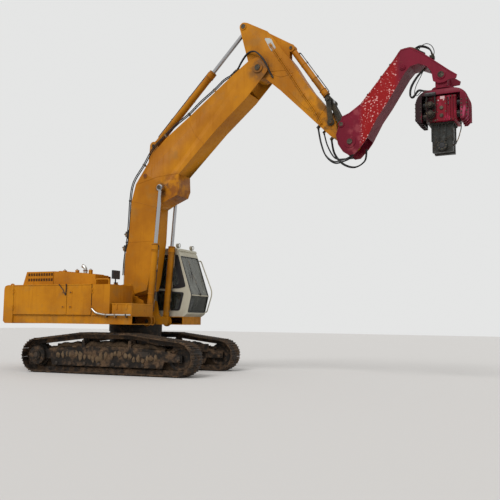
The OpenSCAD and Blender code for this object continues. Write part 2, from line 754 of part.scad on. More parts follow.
module cab_shell() {
    color("#d9d4c4") upper() {
        difference() {
            slab(cab_right, cab_left) polygon(cab_outline);
            slab(cab_right + cab_t, cab_left - cab_t) polygon(inset(cab_outline, cab_t));
            slab(cab_left - cab_t - 1, cab_left + 1) polygon(door_outline);
            slab(cab_right - 1, cab_right + cab_t + 1) polygon(right_window);
            slab(cab_right - 1, cab_right + cab_t + 1) polygon(right_low_window);
            // Windscreen opening
            slab(cab_right + cab_t + 10, cab_left - cab_t - 10)
                polygon([[1000, 1440], [1400, 1440], [1400, 2830], [700, 2830], [840, 2780]]);
            // Back window
            block(-cab_back - 1, -cab_back + cab_t + 1, cab_right + 150, cab_left - 150, 2050, cab_top - 200);
        }
        cab_hinges(false);
        // Roof lip over the windows, lamps on its front edge, and a rail along the left front pillar
        slab(cab_right - 18, cab_left + 18) polygon([[-cab_back - 12, cab_top - 8], [840, cab_top - 8],
            [860, cab_top - 40], [880, cab_top - 30], [850, cab_top + roof_t],
            [-cab_back - 12, cab_top + roof_t]]);
        for (y = [cab_right + 120, cab_left - 120]) translate([790, y, cab_top + roof_t - 1]) {
            cylinder(h = 30, r = 16);
            translate([-30, 0, 75]) rotate([0, 90, 0]) cylinder(h = 70, r = 55);
        }
        y = cab_left + 2 * cab_t;
        bent_bar([[1140, cab_left - cab_t, 1450], [1190, y, 1450], [1325, y, 1880], [1325, y, 2000],
            [990, y, cab_top - 220], [935, cab_left - cab_t, cab_top - 240]], grab_r);
    }
}
roof_t = 26;
module cab_glass() {
    g = 8;
    set_in = (cab_t - g) / 2;
    y0 = cab_right + cab_t + 11;
    y1 = cab_left - cab_t - 11;
    color("#39424a") upper() {
        slab(y0, y1) polygon([[cab_front_x(1442) - 2 * g, 1442], [cab_front_x(1442) - g, 1442],
            [1252, 1858], [1244, 1858]]);
        slab(y0, y1) polygon([[1242, 1866], [1250, 1866], [cab_front_x(2828) - g, 2828],
            [cab_front_x(2828) - 2 * g, 2828]]);
        slab(cab_right + set_in, cab_right + set_in + g) polygon(inset(right_window, 1));
        slab(cab_right + set_in, cab_right + set_in + g) polygon(inset(right_low_window, 1));
        block(-cab_back + set_in, -cab_back + set_in + g, cab_right + 151, cab_left - 151,
            2051, cab_top - 201);
    }
}
door_gap = 6;
door_t = 36;
door_rim = 70;
door_upper = [[door_x0, 1940], [door_x1 + 210, 1940], [door_x1 - 40, cab_top - 130],
    [door_x0, cab_top - 130]];
door_lower = [[door_x0, deck_top + 90], [door_x1 + 40, deck_top + 90], [door_x1 + 220, 1880],
    [door_x0, 1880]];
module cab_door() {
    color("#d9d4c4") upper() {
        slab(cab_left - door_t, cab_left) difference() {
            polygon(inset(door_outline, door_gap));
            polygon(inset(door_upper, door_rim));
            polygon(inset(door_lower, door_rim));
        }
        cab_hinges(true);
    }
}
module door_glass() {
    g = 8;
    color("#39424a") upper() slab(cab_left - door_t / 2 - g / 2, cab_left - door_t / 2 + g / 2) {
        polygon(inset(door_upper, door_rim));
        polygon(inset(door_lower, door_rim));
    }
}
module seat() {
    mid = (cab_right + cab_left) / 2;
    floor_z = cab_z0 + cab_t;
    color("#2a2a2c") upper() {
        block(-300, 220, mid - 250, mid + 250, floor_z + 330, floor_z + 450);
        block(-420, -300, mid - 240, mid + 240, floor_z + 330, floor_z + 1050);
        block(-250, 150, mid - 160, mid + 160, floor_z, floor_z + 330);
    }
}
module console() {
    mid = (cab_right + cab_left) / 2;
    floor_z = cab_z0 + cab_t;
    color("#34363a") upper() both_y(mid) {
        block(-250, 330, 270, 370, floor_z, floor_z + 560);
        translate([280, 320, floor_z + 560]) cylinder(h = 200, r = 18);
    }
}
module both_y(y) {
    translate([0, y, 0]) both_sides() children();
}

// Boom and its cylinders

boom_outline = concat(
    arc(boom_foot, 150, 180, 280, 5),
    [[460, 1950], [520, 2190], [650, 3140], [680, 3950], [910, 4070], [1250, 4210], [1310, 4360],
     [1290, 4720], [1680, 5110], [2290, 5700], [3060, 6360]],
    arc(stick_pivot, tip_r, -40, 100, 9),
    [[3120, 7240], [2710, 6960], [1570, 6100], [920, 5640], [600, 5340], [70, 4560], [-40, 4150],
     [-100, 3130], [-180, 2830]]);
fork_r = 520;
boom_in = boom_w / 2 - boom_side_t;
module boom() {
    fork_dir = angle_of(stick_pivot - [1570, 5700]);
    base_lug = concat([[300, 4990], [700, 5300], [600, 5440]], arc(arm_cyl_base, arm_ear_r, 10, 190, 8));
    color("#c8841c") upper() {
        difference() {
            slab(-boom_w / 2, boom_w / 2) polygon(boom_outline);
            slab(-boom_in, boom_in) polygon(inset(boom_outline, boom_flange_t));
            translate([stick_pivot[0], 0, stick_pivot[1]]) rotate([0, -fork_dir, 0]) {
                slab(-boom_in, boom_in) translate([-fork_r, -700]) square([1400, 1400]);
            }
            disc(stick_pivot, big_pin_r + pin_gap, -400, 400);
            disc(boom_foot, big_pin_r + pin_gap, -400, 400);
        }
        difference() {
            disc(boom_foot, 120, -boom_in - 1, boom_in + 1);
            disc(boom_foot, big_pin_r + pin_gap, -400, 400);
        }
        both_sides() {
            ring(stick_pivot, 120, big_pin_r + pin_gap, boom_w / 2 - 1, boom_w / 2 + 26);
            disc(boom_cyl_pin, 95, boom_in - 1, boom_w / 2 + 6);
            disc(boom_cyl_pin, 60, boom_w / 2, boom_cyl_y - eye_w / 2 - side_gap);
            slab(arm_eye / 2 + side_gap, arm_eye / 2 + side_gap + 30) polygon(base_lug);
        }
        disc([330, 4750], 70, -boom_w / 2 - 10, boom_w / 2 + 10);
        disc(arm_cyl_base, cyl_pin_r, -arm_eye / 2 - side_gap - 45, arm_eye / 2 + side_gap + 45);
    }
}
arm_ear_r = 105;
curl_ear_r = 90;
arm_eye = 120;
curl_eye = 100;
barrel_wall = 12;
gland_l = 90;
gland_lip = 8;
piston_l = 90;
piston_gap = 2;
end_room = 30;
// The barrel starts past its bracket's ears, on a neck as wide as its eye
module barrel(r, rod_r, length, eye_width, pin_r, ear_r) {
    start = ear_r + 14;
    eye_wall = 38;
    cap = 20;
    difference() {
        union() {
            disc([0, 0], pin_r + eye_wall, -eye_width / 2, eye_width / 2);
            block(0, start, -eye_width / 2, eye_width / 2, -r * 0.8, r * 0.8);
            translate([start, 0, 0]) rotate([0, 90, 0]) cylinder(h = length - start, r = r);
            translate([length - gland_l, 0, 0]) rotate([0, 90, 0]) cylinder(h = gland_l, r = r + gland_lip);
        }
        disc([0, 0], pin_r + pin_gap, -500, 500);
        translate([start + cap, 0, 0]) rotate([0, 90, 0])
            cylinder(h = length - start - cap - gland_l, r = r - barrel_wall);
        translate([length - gland_l - 1, 0, 0]) rotate([0, 90, 0]) cylinder(h = gland_l + 2, r = rod_r + 1);
    }
}
// The rod reaches back into the barrel as far as its way out needs, and its eye holds its own pin
module rod(total, show, rod_r, barrel_r, eye_r, eye_width, way_out) {
    inside = way_out + gland_l + piston_l + end_room;
    translate([total - show - inside, 0, 0]) rotate([0, 90, 0]) {
        cylinder(h = show + inside - eye_r * 0.6, r = rod_r);
        cylinder(h = piston_l, r = barrel_r - barrel_wall - piston_gap);
    }
    disc([total, 0], eye_r, -eye_width / 2, eye_width / 2);
}
boom_cyl_l = norm(boom_cyl_pin - boom_cyl_base);
arm_cyl_l = norm(arm_cyl_pin - arm_cyl_base);
curl_cyl_l = norm(curl_pin - curl_base);
boom_way_out = 70;
arm_way_out = 770;
curl_way_out = 610;
module boom_barrels() {
    color("#c8841c") upper() both_sides() along(boom_cyl_base, boom_cyl_pin, boom_cyl_y)
        barrel(boom_barrel_r, boom_rod_r, boom_cyl_l - boom_rod_show, eye_w, cyl_pin_r, lug_r);
}
module boom_rods() {
    color("#c9c6bd") upper() both_sides() along(boom_cyl_base, boom_cyl_pin, boom_cyl_y) {
        rod(boom_cyl_l, boom_rod_show, boom_rod_r, boom_barrel_r, 80, eye_w, boom_way_out);
        disc([boom_cyl_l, 0], 55, eye_w / 2 - 1, eye_w / 2 + 30);
    }
}
module arm_barrel() {
    color("#c8841c") upper() along(arm_cyl_base, arm_cyl_pin, 0)
        barrel(arm_barrel_r, arm_rod_r, arm_cyl_l - arm_rod_show, arm_eye, cyl_pin_r, arm_ear_r);
}
module arm_rod() {
    color("#c9c6bd") upper() along(arm_cyl_base, arm_cyl_pin, 0)
        rod(arm_cyl_l, arm_rod_show, arm_rod_r, arm_barrel_r, 88, arm_eye, arm_way_out);
}
// Pipes up the boom's back on clamps, with valve blocks and the block where the tip's hose begins
boom_back = [[-180, 2830], [-100, 3130], [-40, 4150], [70, 4560], [600, 5340], [920, 5640], [1570, 6100],
    [2710, 6960]];
pipe_r = 12;
pipe_off = 26;
// The n-th point of the boom's back moved outwards by d
function off_back(n, d) = boom_back[n] + d * left_of(unit(boom_back[min(n + 1, len(boom_back) - 1)]
    - boom_back[max(n - 1, 0)]));
module boom_pipes() {
    color("#2b2a28") upper() {
        last = len(boom_back) - 1;
        for (y = [-178, -140, 140, 178]) slab(y - pipe_r, y + pipe_r) polygon(concat(
            [for (n = [0:last]) off_back(n, pipe_off - pipe_r)],
            [for (n = [last:-1:0]) off_back(n, pipe_off + pipe_r)]));
        for (n = [0:last - 1], s = n == 1 || n > 4 ? [0.25, 0.75] : [0.5]) {
            p = boom_back[n] * (1 - s) + boom_back[n + 1] * s;
            turn = angle_of(boom_back[n + 1] - boom_back[n]);
            both_sides() translate([p[0], 0, p[1]]) rotate([0, -turn, 0])
                block(-22, 22, 118, 200, seat_gap, pipe_off + pipe_r + 8);
        }
        // Valve blocks low on the back, and the block at the tip
        for (n = [0.45, 1.2], i = [floor(n)]) {
            p = boom_back[i] * (1 - n + i) + boom_back[i + 1] * (n - i);
            turn = angle_of(boom_back[i + 1] - boom_back[i]);
            translate([p[0], 0, p[1]]) rotate([0, -turn, 0]) block(-70, 70, -200, -110, seat_gap, 170);
        }
        tip = boom_back[last];
        translate([tip[0], 0, tip[1]]) rotate([0, -angle_of(tip - boom_back[last - 1]), 0]) {
            block(-80, 30, -182, -118, seat_gap, 110);
            block(29, 125, -182, -118, 66, 110);
        }
    }
}

// Stick, its linkage and the gooseneck

stick_outline = concat(
    arc(stick_pivot, 270, 160, 300, 8),
    [[3900, 6440], [4740, 5600], [5060, 5290]],
    arc(neck_pivot, 120, 235, 460, 10),
    [[5230, 5420], [5170, 5640], [4980, 5930], [4600, 6390], [4360, 6760], [4160, 7090], [3640, 7780],
     [3550, 7900], [3040, 8190]],
    arc(arm_cyl_pin, 100, 70, 190, 6));
stick_in = stick_w / 2 - stick_side_t;
doubler_t = 6;
module stick() {
    base_lug = concat([[3560, 7890], [3600, 7800], [4060, 7220]], arc(curl_base, curl_ear_r, -110, 80, 8));
    color("#cc8a1e") upper() {
        difference() {
            slab(-stick_w / 2, stick_w / 2) polygon(stick_outline);
            slab(-stick_in, stick_in) polygon(inset(stick_outline, stick_flange_t));
            // Open lever for the cylinder's eye
            slab(-stick_in, stick_in)
                polygon([[2700, 8350], [2750, 7500], [3000, 7300], [3400, 7480], [3420, 8400]]);
            disc(stick_pivot, big_pin_r + 20, -400, 400);
            disc(neck_pivot, big_pin_r, -400, 400);
        }
        // Tube of the boom's pin, with the pin in it
        ring(stick_pivot, 130, big_pin_r, -boom_in + side_gap, boom_in - side_gap);
        disc(stick_pivot, big_pin_r, -boom_w / 2 - 34, boom_w / 2 + 34);
        disc(neck_pivot, 110, -stick_in - 1, stick_in + 1);
        disc(neck_pivot, big_pin_r, -neck_w / 2 - 20, neck_w / 2 + 20);
        both_sides() {
            disc(arm_cyl_pin, 80, arm_eye / 2 + side_gap, stick_w / 2 + 18);
            slab(curl_eye / 2 + side_gap, curl_eye / 2 + side_gap + 25) polygon(base_lug);
            // Doubler plates round the boom's pin and over the lever's foot
            slab(stick_w / 2 - 1, stick_w / 2 + doubler_t) union() {
                polygon(concat(arc(stick_pivot, 215, 150, 330, 14),
                    [[4120, 6900], [3800, 7240], [3300, 7560]]));
                polygon([[4180, 6560], [4560, 6120], [4700, 6000], [4640, 5860], [4440, 6020],
                    [4080, 6420]]);
            }
        }
        disc(curl_base, cyl_pin_r, -curl_eye / 2 - side_gap - 40, curl_eye / 2 + side_gap + 40);
        disc(rocker_pin, cyl_pin_r, -stick_w / 2 - 60, stick_w / 2 + 60);
    }
}
module curl_barrel() {
    color("#c8841c") upper() along(curl_base, curl_pin, 0)
        barrel(curl_barrel_r, curl_rod_r, curl_cyl_l - curl_rod_show, curl_eye, cyl_pin_r, curl_ear_r);
}
module curl_rod() {
    color("#c9c6bd") upper() along(curl_base, curl_pin, 0)
        rod(curl_cyl_l, curl_rod_show, curl_rod_r, curl_barrel_r, 72, curl_eye - 4, curl_way_out);
}
rocker_y0 = stick_w / 2 + 6;
rocker_t = 26;
rocker_l = norm(curl_pin - rocker_pin);
link_l = norm(link_pin - curl_pin);
link_arm_y = curl_eye / 2 + side_gap;
module rockers() {
    color("#4a3f2a") upper() both_sides() {
        difference() {
            along(rocker_pin, curl_pin, 0) slab(rocker_y0, rocker_y0 + rocker_t) union() {
                circle(r = 80);
                translate([0, -55]) square([rocker_l, 110]);
                translate([rocker_l, 0]) circle(r = 75);
            }
            disc(rocker_pin, cyl_pin_r + pin_gap, -500, 500);
        }
        disc(curl_pin, cyl_pin_r, link_arm_y + 2, rocker_y0 + rocker_t + 14);
    }
}
module curl_link() {
    color("#4a3f2a") upper() difference() {
        along(curl_pin, link_pin, 0) {
            both_sides() slab(link_arm_y, link_arm_y + 70) union() {
                circle(r = 72);
                translate([0, -50]) square([link_l, 100]);
            }
            slab(-neck_w / 2 + neck_side_t + side_gap, neck_w / 2 - neck_side_t - side_gap)
                translate([link_l, 0]) circle(r = 72);
            slab(-link_arm_y - 1, link_arm_y + 1) translate([200, -30]) square([link_l - 200, 60]);
        }
        disc(curl_pin, cyl_pin_r + pin_gap, -500, 500);
    }
}
neck_outline = [[5380, 4880], [5500, 4800], [5630, 4810], [5810, 5000], [5900, 5120], [6130, 5540],
    [6340, 5830], [6730, 6440], [6840, 6560], [7010, 6590], [7180, 6510], [7270, 6380], [7300, 6180],
    [7400, 6120], [7520, 6120], [7620, 6170], [7760, 6180], [7780, 6250], [7620, 6370], [7380, 6570],
    [7110, 6800], [6840, 6970], [6640, 6950], [6510, 6760], [6080, 6240], [5790, 5900], [5520, 5720],
    [5360, 5660], [5220, 5270], [5270, 5050]];
neck_in = neck_w / 2 - neck_side_t;
module gooseneck() {
    color("#8d1f33") upper() {
        difference() {
            slab(-neck_w / 2, neck_w / 2) polygon(neck_outline);
            slab(-neck_in, neck_in) polygon(inset(neck_outline, neck_flange_t));
            // Room for the stick's end and the link
            slab(-neck_in, neck_in)
                polygon([[5000, 5760], [5620, 5900], [5960, 5000], [5700, 4600], [5000, 4600]]);
            // Room for the hammer's yoke
            slab(-neck_in, neck_in) polygon([[7200, 6500], [7900, 6480], [7900, 6000], [7200, 6000]]);
            disc(neck_pivot, big_pin_r + pin_gap, -500, 500);
        }
        both_sides() {
            disc(link_pin, 70, neck_w / 2 - 1, neck_w / 2 + 14);
            disc(swing_pin, 90, neck_w / 2 - 1, neck_w / 2 + 18);
            ring(neck_pivot, 130, big_pin_r + pin_gap, neck_w / 2 - 1, neck_w / 2 + 12);
            disc([6680, 6570], 70, neck_w / 2 - 1, neck_w / 2 + 22);
            // Edge plates that stand proud of the sides
            slab(neck_w / 2 - 1, neck_w / 2 + 6) difference() {
                polygon(neck_outline);
                polygon(inset(neck_outline, neck_flange_t + 8));
            }
        }
        disc(swing_pin, big_pin_r, -neck_in - 1, neck_in + 1);
    }
}
module neck_clamp() {
    color("#33302c") upper() block(7200, 7290, -60, 60, 6735, 6800);
}

// Hammer

head_x = swing_pin[0];
yoke_w = 2 * (neck_in - side_gap);
turn_z = 6060;
module head_yoke() {
    color("#7e1b2c") upper() {
        difference() {
            union() {
                disc(swing_pin, 120, -yoke_w / 2, yoke_w / 2);
                block(head_x - 120, head_x + 120, -yoke_w / 2, yoke_w / 2, turn_z, swing_pin[1]);
            }
            disc(swing_pin, big_pin_r + pin_gap, -500, 500);
        }
        translate([head_x, 0, turn_z - 40]) cylinder(h = 41, r = 230);
    }
}
shell = 150;
module hammer_frame() {
    t = 30;
    half = hammer_w / 2;
    shoulder = 270;
    foot = 70;
    rib_out = 24;
    rib_w = 30;
    rib_gap = 150;
    skin = half - rib_out;
    skin_top = hammer_top - rib_out;
    outline = concat([[-skin + foot, hammer_bottom + rib_out], [skin - foot, hammer_bottom + rib_out],
        [skin, hammer_bottom + rib_out + foot]],
        arc([skin - shoulder, skin_top - shoulder], shoulder, 0, 90, 8),
        arc([-skin + shoulder, skin_top - shoulder], shoulder, 90, 180, 8),
        [[-skin, hammer_bottom + rib_out + foot]]);
    color("#8d1f33") upper() translate([head_x, 0, 0]) {
        difference() {
            union() {
                slab(-hammer_d / 2, hammer_d / 2) polygon(outline);
                // Ribs that follow the shell round
                for (i = [-1.5:1.5]) slab(i * rib_gap - rib_w / 2, i * rib_gap + rib_w / 2)
                    polygon(inset(outline, -rib_out));
            }
            slab(-hammer_d / 2 - 1, hammer_d / 2 + 1)
                polygon([[-half + shell, hammer_bottom - 1], [half - shell, hammer_bottom - 1],
                    [half - shell, hammer_top - 130], [-half + shell, hammer_top - 130]]);
            both_sides() slab(t, hammer_d / 2 - t) polygon(inset(outline, t));
        }
        translate([0, 0, skin_top - 1]) cylinder(h = turn_z - 40 - skin_top - 2, r = 200);
    }
}
case_half = 300;
case_y = hammer_d / 2 - 60;
case_z0 = hammer_bottom + 20;
case_z1 = hammer_top - 160;
module exciter_case() {
    panel_t = 34;
    rib_t = 22;
    flange_h = 45;
    color("#b3202c") upper() translate([head_x, 0, 0]) {
        block(-case_half, case_half, -case_y, case_y, case_z0, case_z1);
        both_sides() {
            // Raised middle panel, flanges above and below, and ribs on its right
            slab(case_y - 1, case_y + panel_t) polygon([[-90, case_z0], [110, case_z0], [110, case_z1 - 60],
                [80, case_z1], [-60, case_z1], [-90, case_z1 - 30]]);
            for (z = [case_z0, case_z1 - flange_h])
                block(-case_half, case_half, case_y - 1, case_y + panel_t * 0.6, z, z + flange_h);
            for (x = [165, 220, 275])
                block(x - rib_t / 2, x + rib_t / 2, case_y - 1, case_y + panel_t * 0.8, case_z0, case_z1);
        }
    }
}
module isolators() {
    r = 60;
    color("#1c1c1c") upper() translate([head_x, 0, 0]) for (s = [-1, 1], y = [-170, 170], z = [160, 400])
        translate([s > 0 ? case_half + 1 : -hammer_w / 2 + shell + 1, y, hammer_bottom + z])
            rotate([0, 90, 0]) cylinder(h = hammer_w / 2 - shell - case_half - 2, r = r);
}
// Two motors one over the other on the case's left half, each a flange, a body and a cap
module drive_motors() {
    motor_r = 80;
    y0 = -case_y - seat_gap;
    color("#26282a") upper() translate([head_x, 0, 0]) for (z = [case_z0 + 145, case_z0 + 330])
        turned([-195, z], [[y0 - 165, motor_r - 35], [y0 - 140, motor_r - 12], [y0 - 60, motor_r - 22],
            [y0 - 26, motor_r], [y0, 0]]);
}
module clamp_body() {
    flange = 40;
    rib_w = 30;
    rib_out = 18;
    ram_r = 100;
    top = hammer_bottom + 19;
    jaw_z = clamp_bottom + 120;
    color("#1f2122") upper() translate([head_x, 0, 0]) difference() {
        union() {
            block(-clamp_w / 2, clamp_w / 2, -clamp_d / 2, clamp_d / 2, clamp_bottom, top);
            block(-clamp_w / 2 - flange, clamp_w / 2 + flange, -clamp_d / 2 - flange, clamp_d / 2 + flange,
                top - flange, top);
            both_sides() for (x = [-clamp_w / 2, -clamp_w / 6, clamp_w / 6, clamp_w / 2])
                block(x - rib_w / 2, x + rib_w / 2, clamp_d / 2 - 1, clamp_d / 2 + rib_out,
                    jaw_z + ram_r, top);
            // Housing of the ram that pushes the jaw
            disc([0, jaw_z], ram_r, -clamp_d / 2 - 70, -clamp_d / 2 + 1);
        }
        block(-clamp_w, clamp_w, -slot_w / 2, slot_w / 2, clamp_bottom - 1, clamp_bottom + slot_h);
        disc([0, jaw_z], 70, -clamp_d / 2 - 50, 0);
    }
}
module clamp_jaw() {
    color("#4a4a48") upper() translate([head_x, 0, 0]) {
        disc([0, clamp_bottom + 120], 69, -clamp_d / 2 + 10, -slot_w / 2 + 30);
        block(-80, 80, -slot_w / 2 + 30, -slot_w / 2 + 60, clamp_bottom + 40, clamp_bottom + 200);
    }
}

// Hoses

hose_r = 16;
// Points between the chosen ones on a smooth curve through them
function spline(p, m) = concat([for (i = [0:len(p) - 2], k = [0:m - 1])
    let (a = p[max(i - 1, 0)], b = p[i], c = p[i + 1], d = p[min(i + 2, len(p) - 1)], s = k / m)
    0.5 * (2 * b + (c - a) * s + (2 * a - 5 * b + 4 * c - d) * s * s + (3 * b - a - 3 * c + d) * s * s * s)],
    [p[len(p) - 1]]);
module tube(route, r) {
    swept(spline(route, 4), r);
}
tip_route = [[2760, -150, 7110], [2900, -190, 7300], [3080, -260, 7430], [3280, -320, 7420],
    [3440, -330, 7280], [3560, -310, 7100], [3640, -260, 6900], [3700, -218, 6780]];
loop_a_route = [[4750, -60, 5520], [4830, -80, 5150], [4950, -100, 4850], [5150, -120, 4680],
    [5350, -120, 4700], [5500, -110, 4760]];
loop_b_route = [[5000, 90, 5280], [5060, 110, 4950], [5250, 120, 4700], [5520, 120, 4600],
    [5750, 110, 4720], [5800, 90, 4970]];
loop_c_route = [[4860, 0, 5420], [4950, 0, 5100], [5120, 0, 4820], [5350, 0, 4780], [5550, 0, 4780]];
crown_route = [[6850, 40, 7000], [7000, 60, 7060], [7180, 60, 6980], [7250, 50, 6830]];
head_route = [[7100, -60, 6528], [6960, -110, 6380], [6830, -150, 6150], [6810, -160, 5960],
    [6870, -150, 5930], [6980, -130, 6060], [7130, -120, 6010]];
module hose_tip() {
    color("#191919") upper() tube(tip_route, hose_r);
}
module hose_loop_a() {
    color("#191919") upper() tube(loop_a_route, hose_r);
}
module hose_loop_b() {
    color("#191919") upper() tube(loop_b_route, hose_r);
}
module hose_loop_c() {
    color("#191919") upper() tube(loop_c_route, hose_r);
}
module hose_crown() {
    color("#191919") upper() tube(crown_route, hose_r);
}
module hose_head() {
    color("#191919") upper() tube(head_route, hose_r);
}

centre_frame();
side_frames();
track_right();
track_left();
sprockets();
idlers();
track_rollers();
carrier_rollers();
slew_ring();
house_deck();
counterweight();
bodywork();
pump_cover();
exhaust();
engine_block();
fuel_tank();
tool_box();
side_rail();
side_mirror();
cab_shell();
cab_glass();
seat();
console();
cab_door();
door_glass();
side_door_rear();
side_door_front();
side_door_left();
engine_hood();
boom();
boom_pipes();
boom_barrels();
boom_rods();
arm_barrel();
arm_rod();
stick();
curl_barrel();
curl_rod();
rockers();
curl_link();
gooseneck();
neck_clamp();
head_yoke();
hammer_frame();
exciter_case();
isolators();
drive_motors();
clamp_body();
clamp_jaw();
hose_tip();
hose_loop_a();
hose_loop_b();
hose_loop_c();
hose_crown();
hose_head();
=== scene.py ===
"""Looks of a tracked pile driver rig: hoses, shoes, fittings and finishes round its frame. Metres."""

import json
import math

import bmesh
import bpy
import numpy as np
from mathutils import Matrix, Vector


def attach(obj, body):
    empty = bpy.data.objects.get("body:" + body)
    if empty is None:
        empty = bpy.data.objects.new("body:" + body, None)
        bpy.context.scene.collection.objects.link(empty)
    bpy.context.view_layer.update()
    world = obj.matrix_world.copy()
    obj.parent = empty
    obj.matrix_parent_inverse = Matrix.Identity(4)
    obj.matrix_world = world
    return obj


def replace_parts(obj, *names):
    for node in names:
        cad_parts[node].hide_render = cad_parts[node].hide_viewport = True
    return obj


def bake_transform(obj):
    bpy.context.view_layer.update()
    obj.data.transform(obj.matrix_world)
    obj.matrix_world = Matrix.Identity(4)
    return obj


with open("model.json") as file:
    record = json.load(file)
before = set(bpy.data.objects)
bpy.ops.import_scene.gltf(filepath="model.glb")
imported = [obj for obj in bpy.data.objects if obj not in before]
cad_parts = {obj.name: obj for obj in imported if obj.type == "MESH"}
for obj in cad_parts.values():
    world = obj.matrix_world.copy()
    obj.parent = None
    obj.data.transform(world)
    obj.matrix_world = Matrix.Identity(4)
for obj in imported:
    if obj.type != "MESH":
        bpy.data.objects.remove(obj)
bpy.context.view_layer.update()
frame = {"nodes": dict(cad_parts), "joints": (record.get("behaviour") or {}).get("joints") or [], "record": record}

JOINTS = {joint["name"]: joint for joint in frame["joints"]}
# Where the slewing axis meets the ground
AXIS = np.array(JOINTS["slew"]["pos_m"]) * (1, 1, 0)
X, Y, Z = (1, 0, 0), (0, 1, 0), (0, 0, 1)
RIGHT, LEFT = -1, 1
# How far the hammer's middle lies ahead of the slewing axis
HEAD = 7.46
# Edges sharper than this stay sharp: on made things, and on lumps of mud
SHARP, LUMPY = math.radians(35), math.radians(60)


def from_axis(points):
    """Points measured from the slewing axis on the ground, moved into the frame."""
    return np.asarray(points, float) + AXIS


def placed(name, data):
    """A new object in the scene."""
    piece = bpy.data.objects.new(name, data)
    bpy.context.scene.collection.objects.link(piece)
    return piece


def smoothed(mesh):
    mesh.polygons.foreach_set("use_smooth", np.ones(len(mesh.polygons), bool))


# Camera, at the photograph's place and angle
CAMERA_PLACE = from_axis([9.96, -14.383, 1.238])
CAMERA_TURN = math.radians(-25.567)
CAMERA_TILT = math.radians(5.809)
CAMERA_ROLL = math.radians(0.713)
LENS, SENSOR, SIGHT = 50.4, 36.0, 200


def make_camera():
    """Looks along the turn and tilt; the roll turns right and up about that line."""
    ahead = np.array([math.sin(CAMERA_TURN) * math.cos(CAMERA_TILT),
                      math.cos(CAMERA_TURN) * math.cos(CAMERA_TILT), math.sin(CAMERA_TILT)])
    level = np.array([math.cos(CAMERA_TURN), -math.sin(CAMERA_TURN), 0.0])
    upright = np.cross(level, ahead)
    right = level * math.cos(CAMERA_ROLL) + upright * math.sin(CAMERA_ROLL)
    up = upright * math.cos(CAMERA_ROLL) - level * math.sin(CAMERA_ROLL)
    lens = bpy.data.cameras.new("camera")
    lens.lens, lens.sensor_width, lens.clip_end = LENS, SENSOR, SIGHT
    camera = placed("camera", lens)
    turn = Matrix(np.column_stack([right, up, -ahead]).tolist()).to_4x4()
    camera.matrix_world = Matrix.Translation(Vector(CAMERA_PLACE)) @ turn
    bpy.context.scene.camera = camera


make_camera()


# Mesh making: a surface is a grid of points, and faces join neighbours on it

class Form:
    """Vertices and faces of one piece, gathered from surfaces."""

    def __init__(self):
        self.points, self.faces, self.count = [], [], 0

    def add(self, points, faces):
        points = np.asarray(points, float).reshape(-1, 3)
        self.points.append(points)
        self.faces.extend([[int(i) + self.count for i in face] for face in faces])
        self.count += len(points)
        return self

    def grid(self, points, wrap_rows=False, wrap_cols=True, caps=False):
        """points[i, j] runs along rows i and columns j; quads join neighbours; caps close the end rows."""
        rows, cols = points.shape[:2]
        index = np.arange(rows * cols).reshape(rows, cols)
        if wrap_rows:
            index = np.vstack([index, index[:1]])
        if wrap_cols:
            index = np.hstack([index, index[:, :1]])
        corners = [index[:-1, :-1], index[:-1, 1:], index[1:, 1:], index[1:, :-1]]
        faces = np.stack(corners, -1).reshape(-1, 4).tolist()
        if caps:
            faces += [list(range(cols))[::-1], list(range((rows - 1) * cols, rows * cols))]
        return self.add(points, faces)

    def repeat(self, shape, places, axes):
        """Copies of another form: its x, y and z run along each copy's three axes from each copy's place."""
        points, axes = np.vstack(shape.points), np.asarray(axes, float)
        if axes.ndim == 2:
            axes = np.broadcast_to(axes, (len(places), 3, 3))
        moved = np.asarray(places, float)[:, None] + np.einsum("ni,kij->knj", points, axes)
        for copy in moved:
            self.add(copy, shape.faces)
        return self

    def make(self, name, body, slot, finish=None, sharp=SHARP):
        mesh = bpy.data.meshes.new(name)
        mesh.from_pydata(np.vstack(self.points).tolist(), [], self.faces)
        shell = bmesh.new()
        shell.from_mesh(mesh)
        bmesh.ops.recalc_face_normals(shell, faces=shell.faces)
        shell.to_mesh(mesh)
        shell.free()
        mesh.materials.append(FINISHES[finish or slot])
        smoothed(mesh)
        mesh.set_sharp_from_angle(angle=sharp)
        piece = placed(name, mesh)
        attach(piece, body)
        return piece


def unit(v):
    v = np.asarray(v, float)
    return v / np.linalg.norm(v, axis=-1, keepdims=True)


def sides_of(axis):
    """Two directions square to an axis and to each other."""
    axis = unit(axis)
    start = np.array([0, 0, 1.0]) if abs(axis[2]) < 0.9 else np.array([1.0, 0, 0])
    first = unit(np.cross(start, axis))
    return first, np.cross(axis, first)


def curve_through(route, steps):
    """Catmull-Rom points: each span is the cubic that its four nearest route points give."""
    route = np.asarray(route, float)
    padded = np.vstack([route[:1], route, route[-1:]])
    s = (np.arange(steps) / steps)[None, :, None]
    a, b, c, d = (padded[i:len(route) - 1 + i][:, None] for i in range(4))
    spans = 0.5 * (2 * b + (c - a) * s + (2 * a - 5 * b + 4 * c - d) * s ** 2
                   + (3 * b - a - 3 * c + d) * s ** 3)
    return np.vstack([spans.reshape(-1, route.shape[1]), route[-1:]])


def carried(path, profile, closed=False):
    """The profile's points (n, 2) carried along the path, turned so that it stays square to it."""
    path, profile = np.asarray(path, float), np.asarray(profile, float)
    ahead = np.roll(path, -1, 0) - np.roll(path, 1, 0)
    if not closed:
        ahead[0], ahead[-1] = path[1] - path[0], path[-1] - path[-2]
    ahead = unit(ahead)
    side = sides_of(ahead[0])[0]
    frames = []
    for t in ahead:
        side = unit(side - t * np.dot(side, t))
        frames.append((side, np.cross(t, side)))
    side, up = (np.array(frames)[:, None, i] for i in (0, 1))
    return path[:, None] + profile[None, :, :1] * side + profile[None, :, 1:] * up


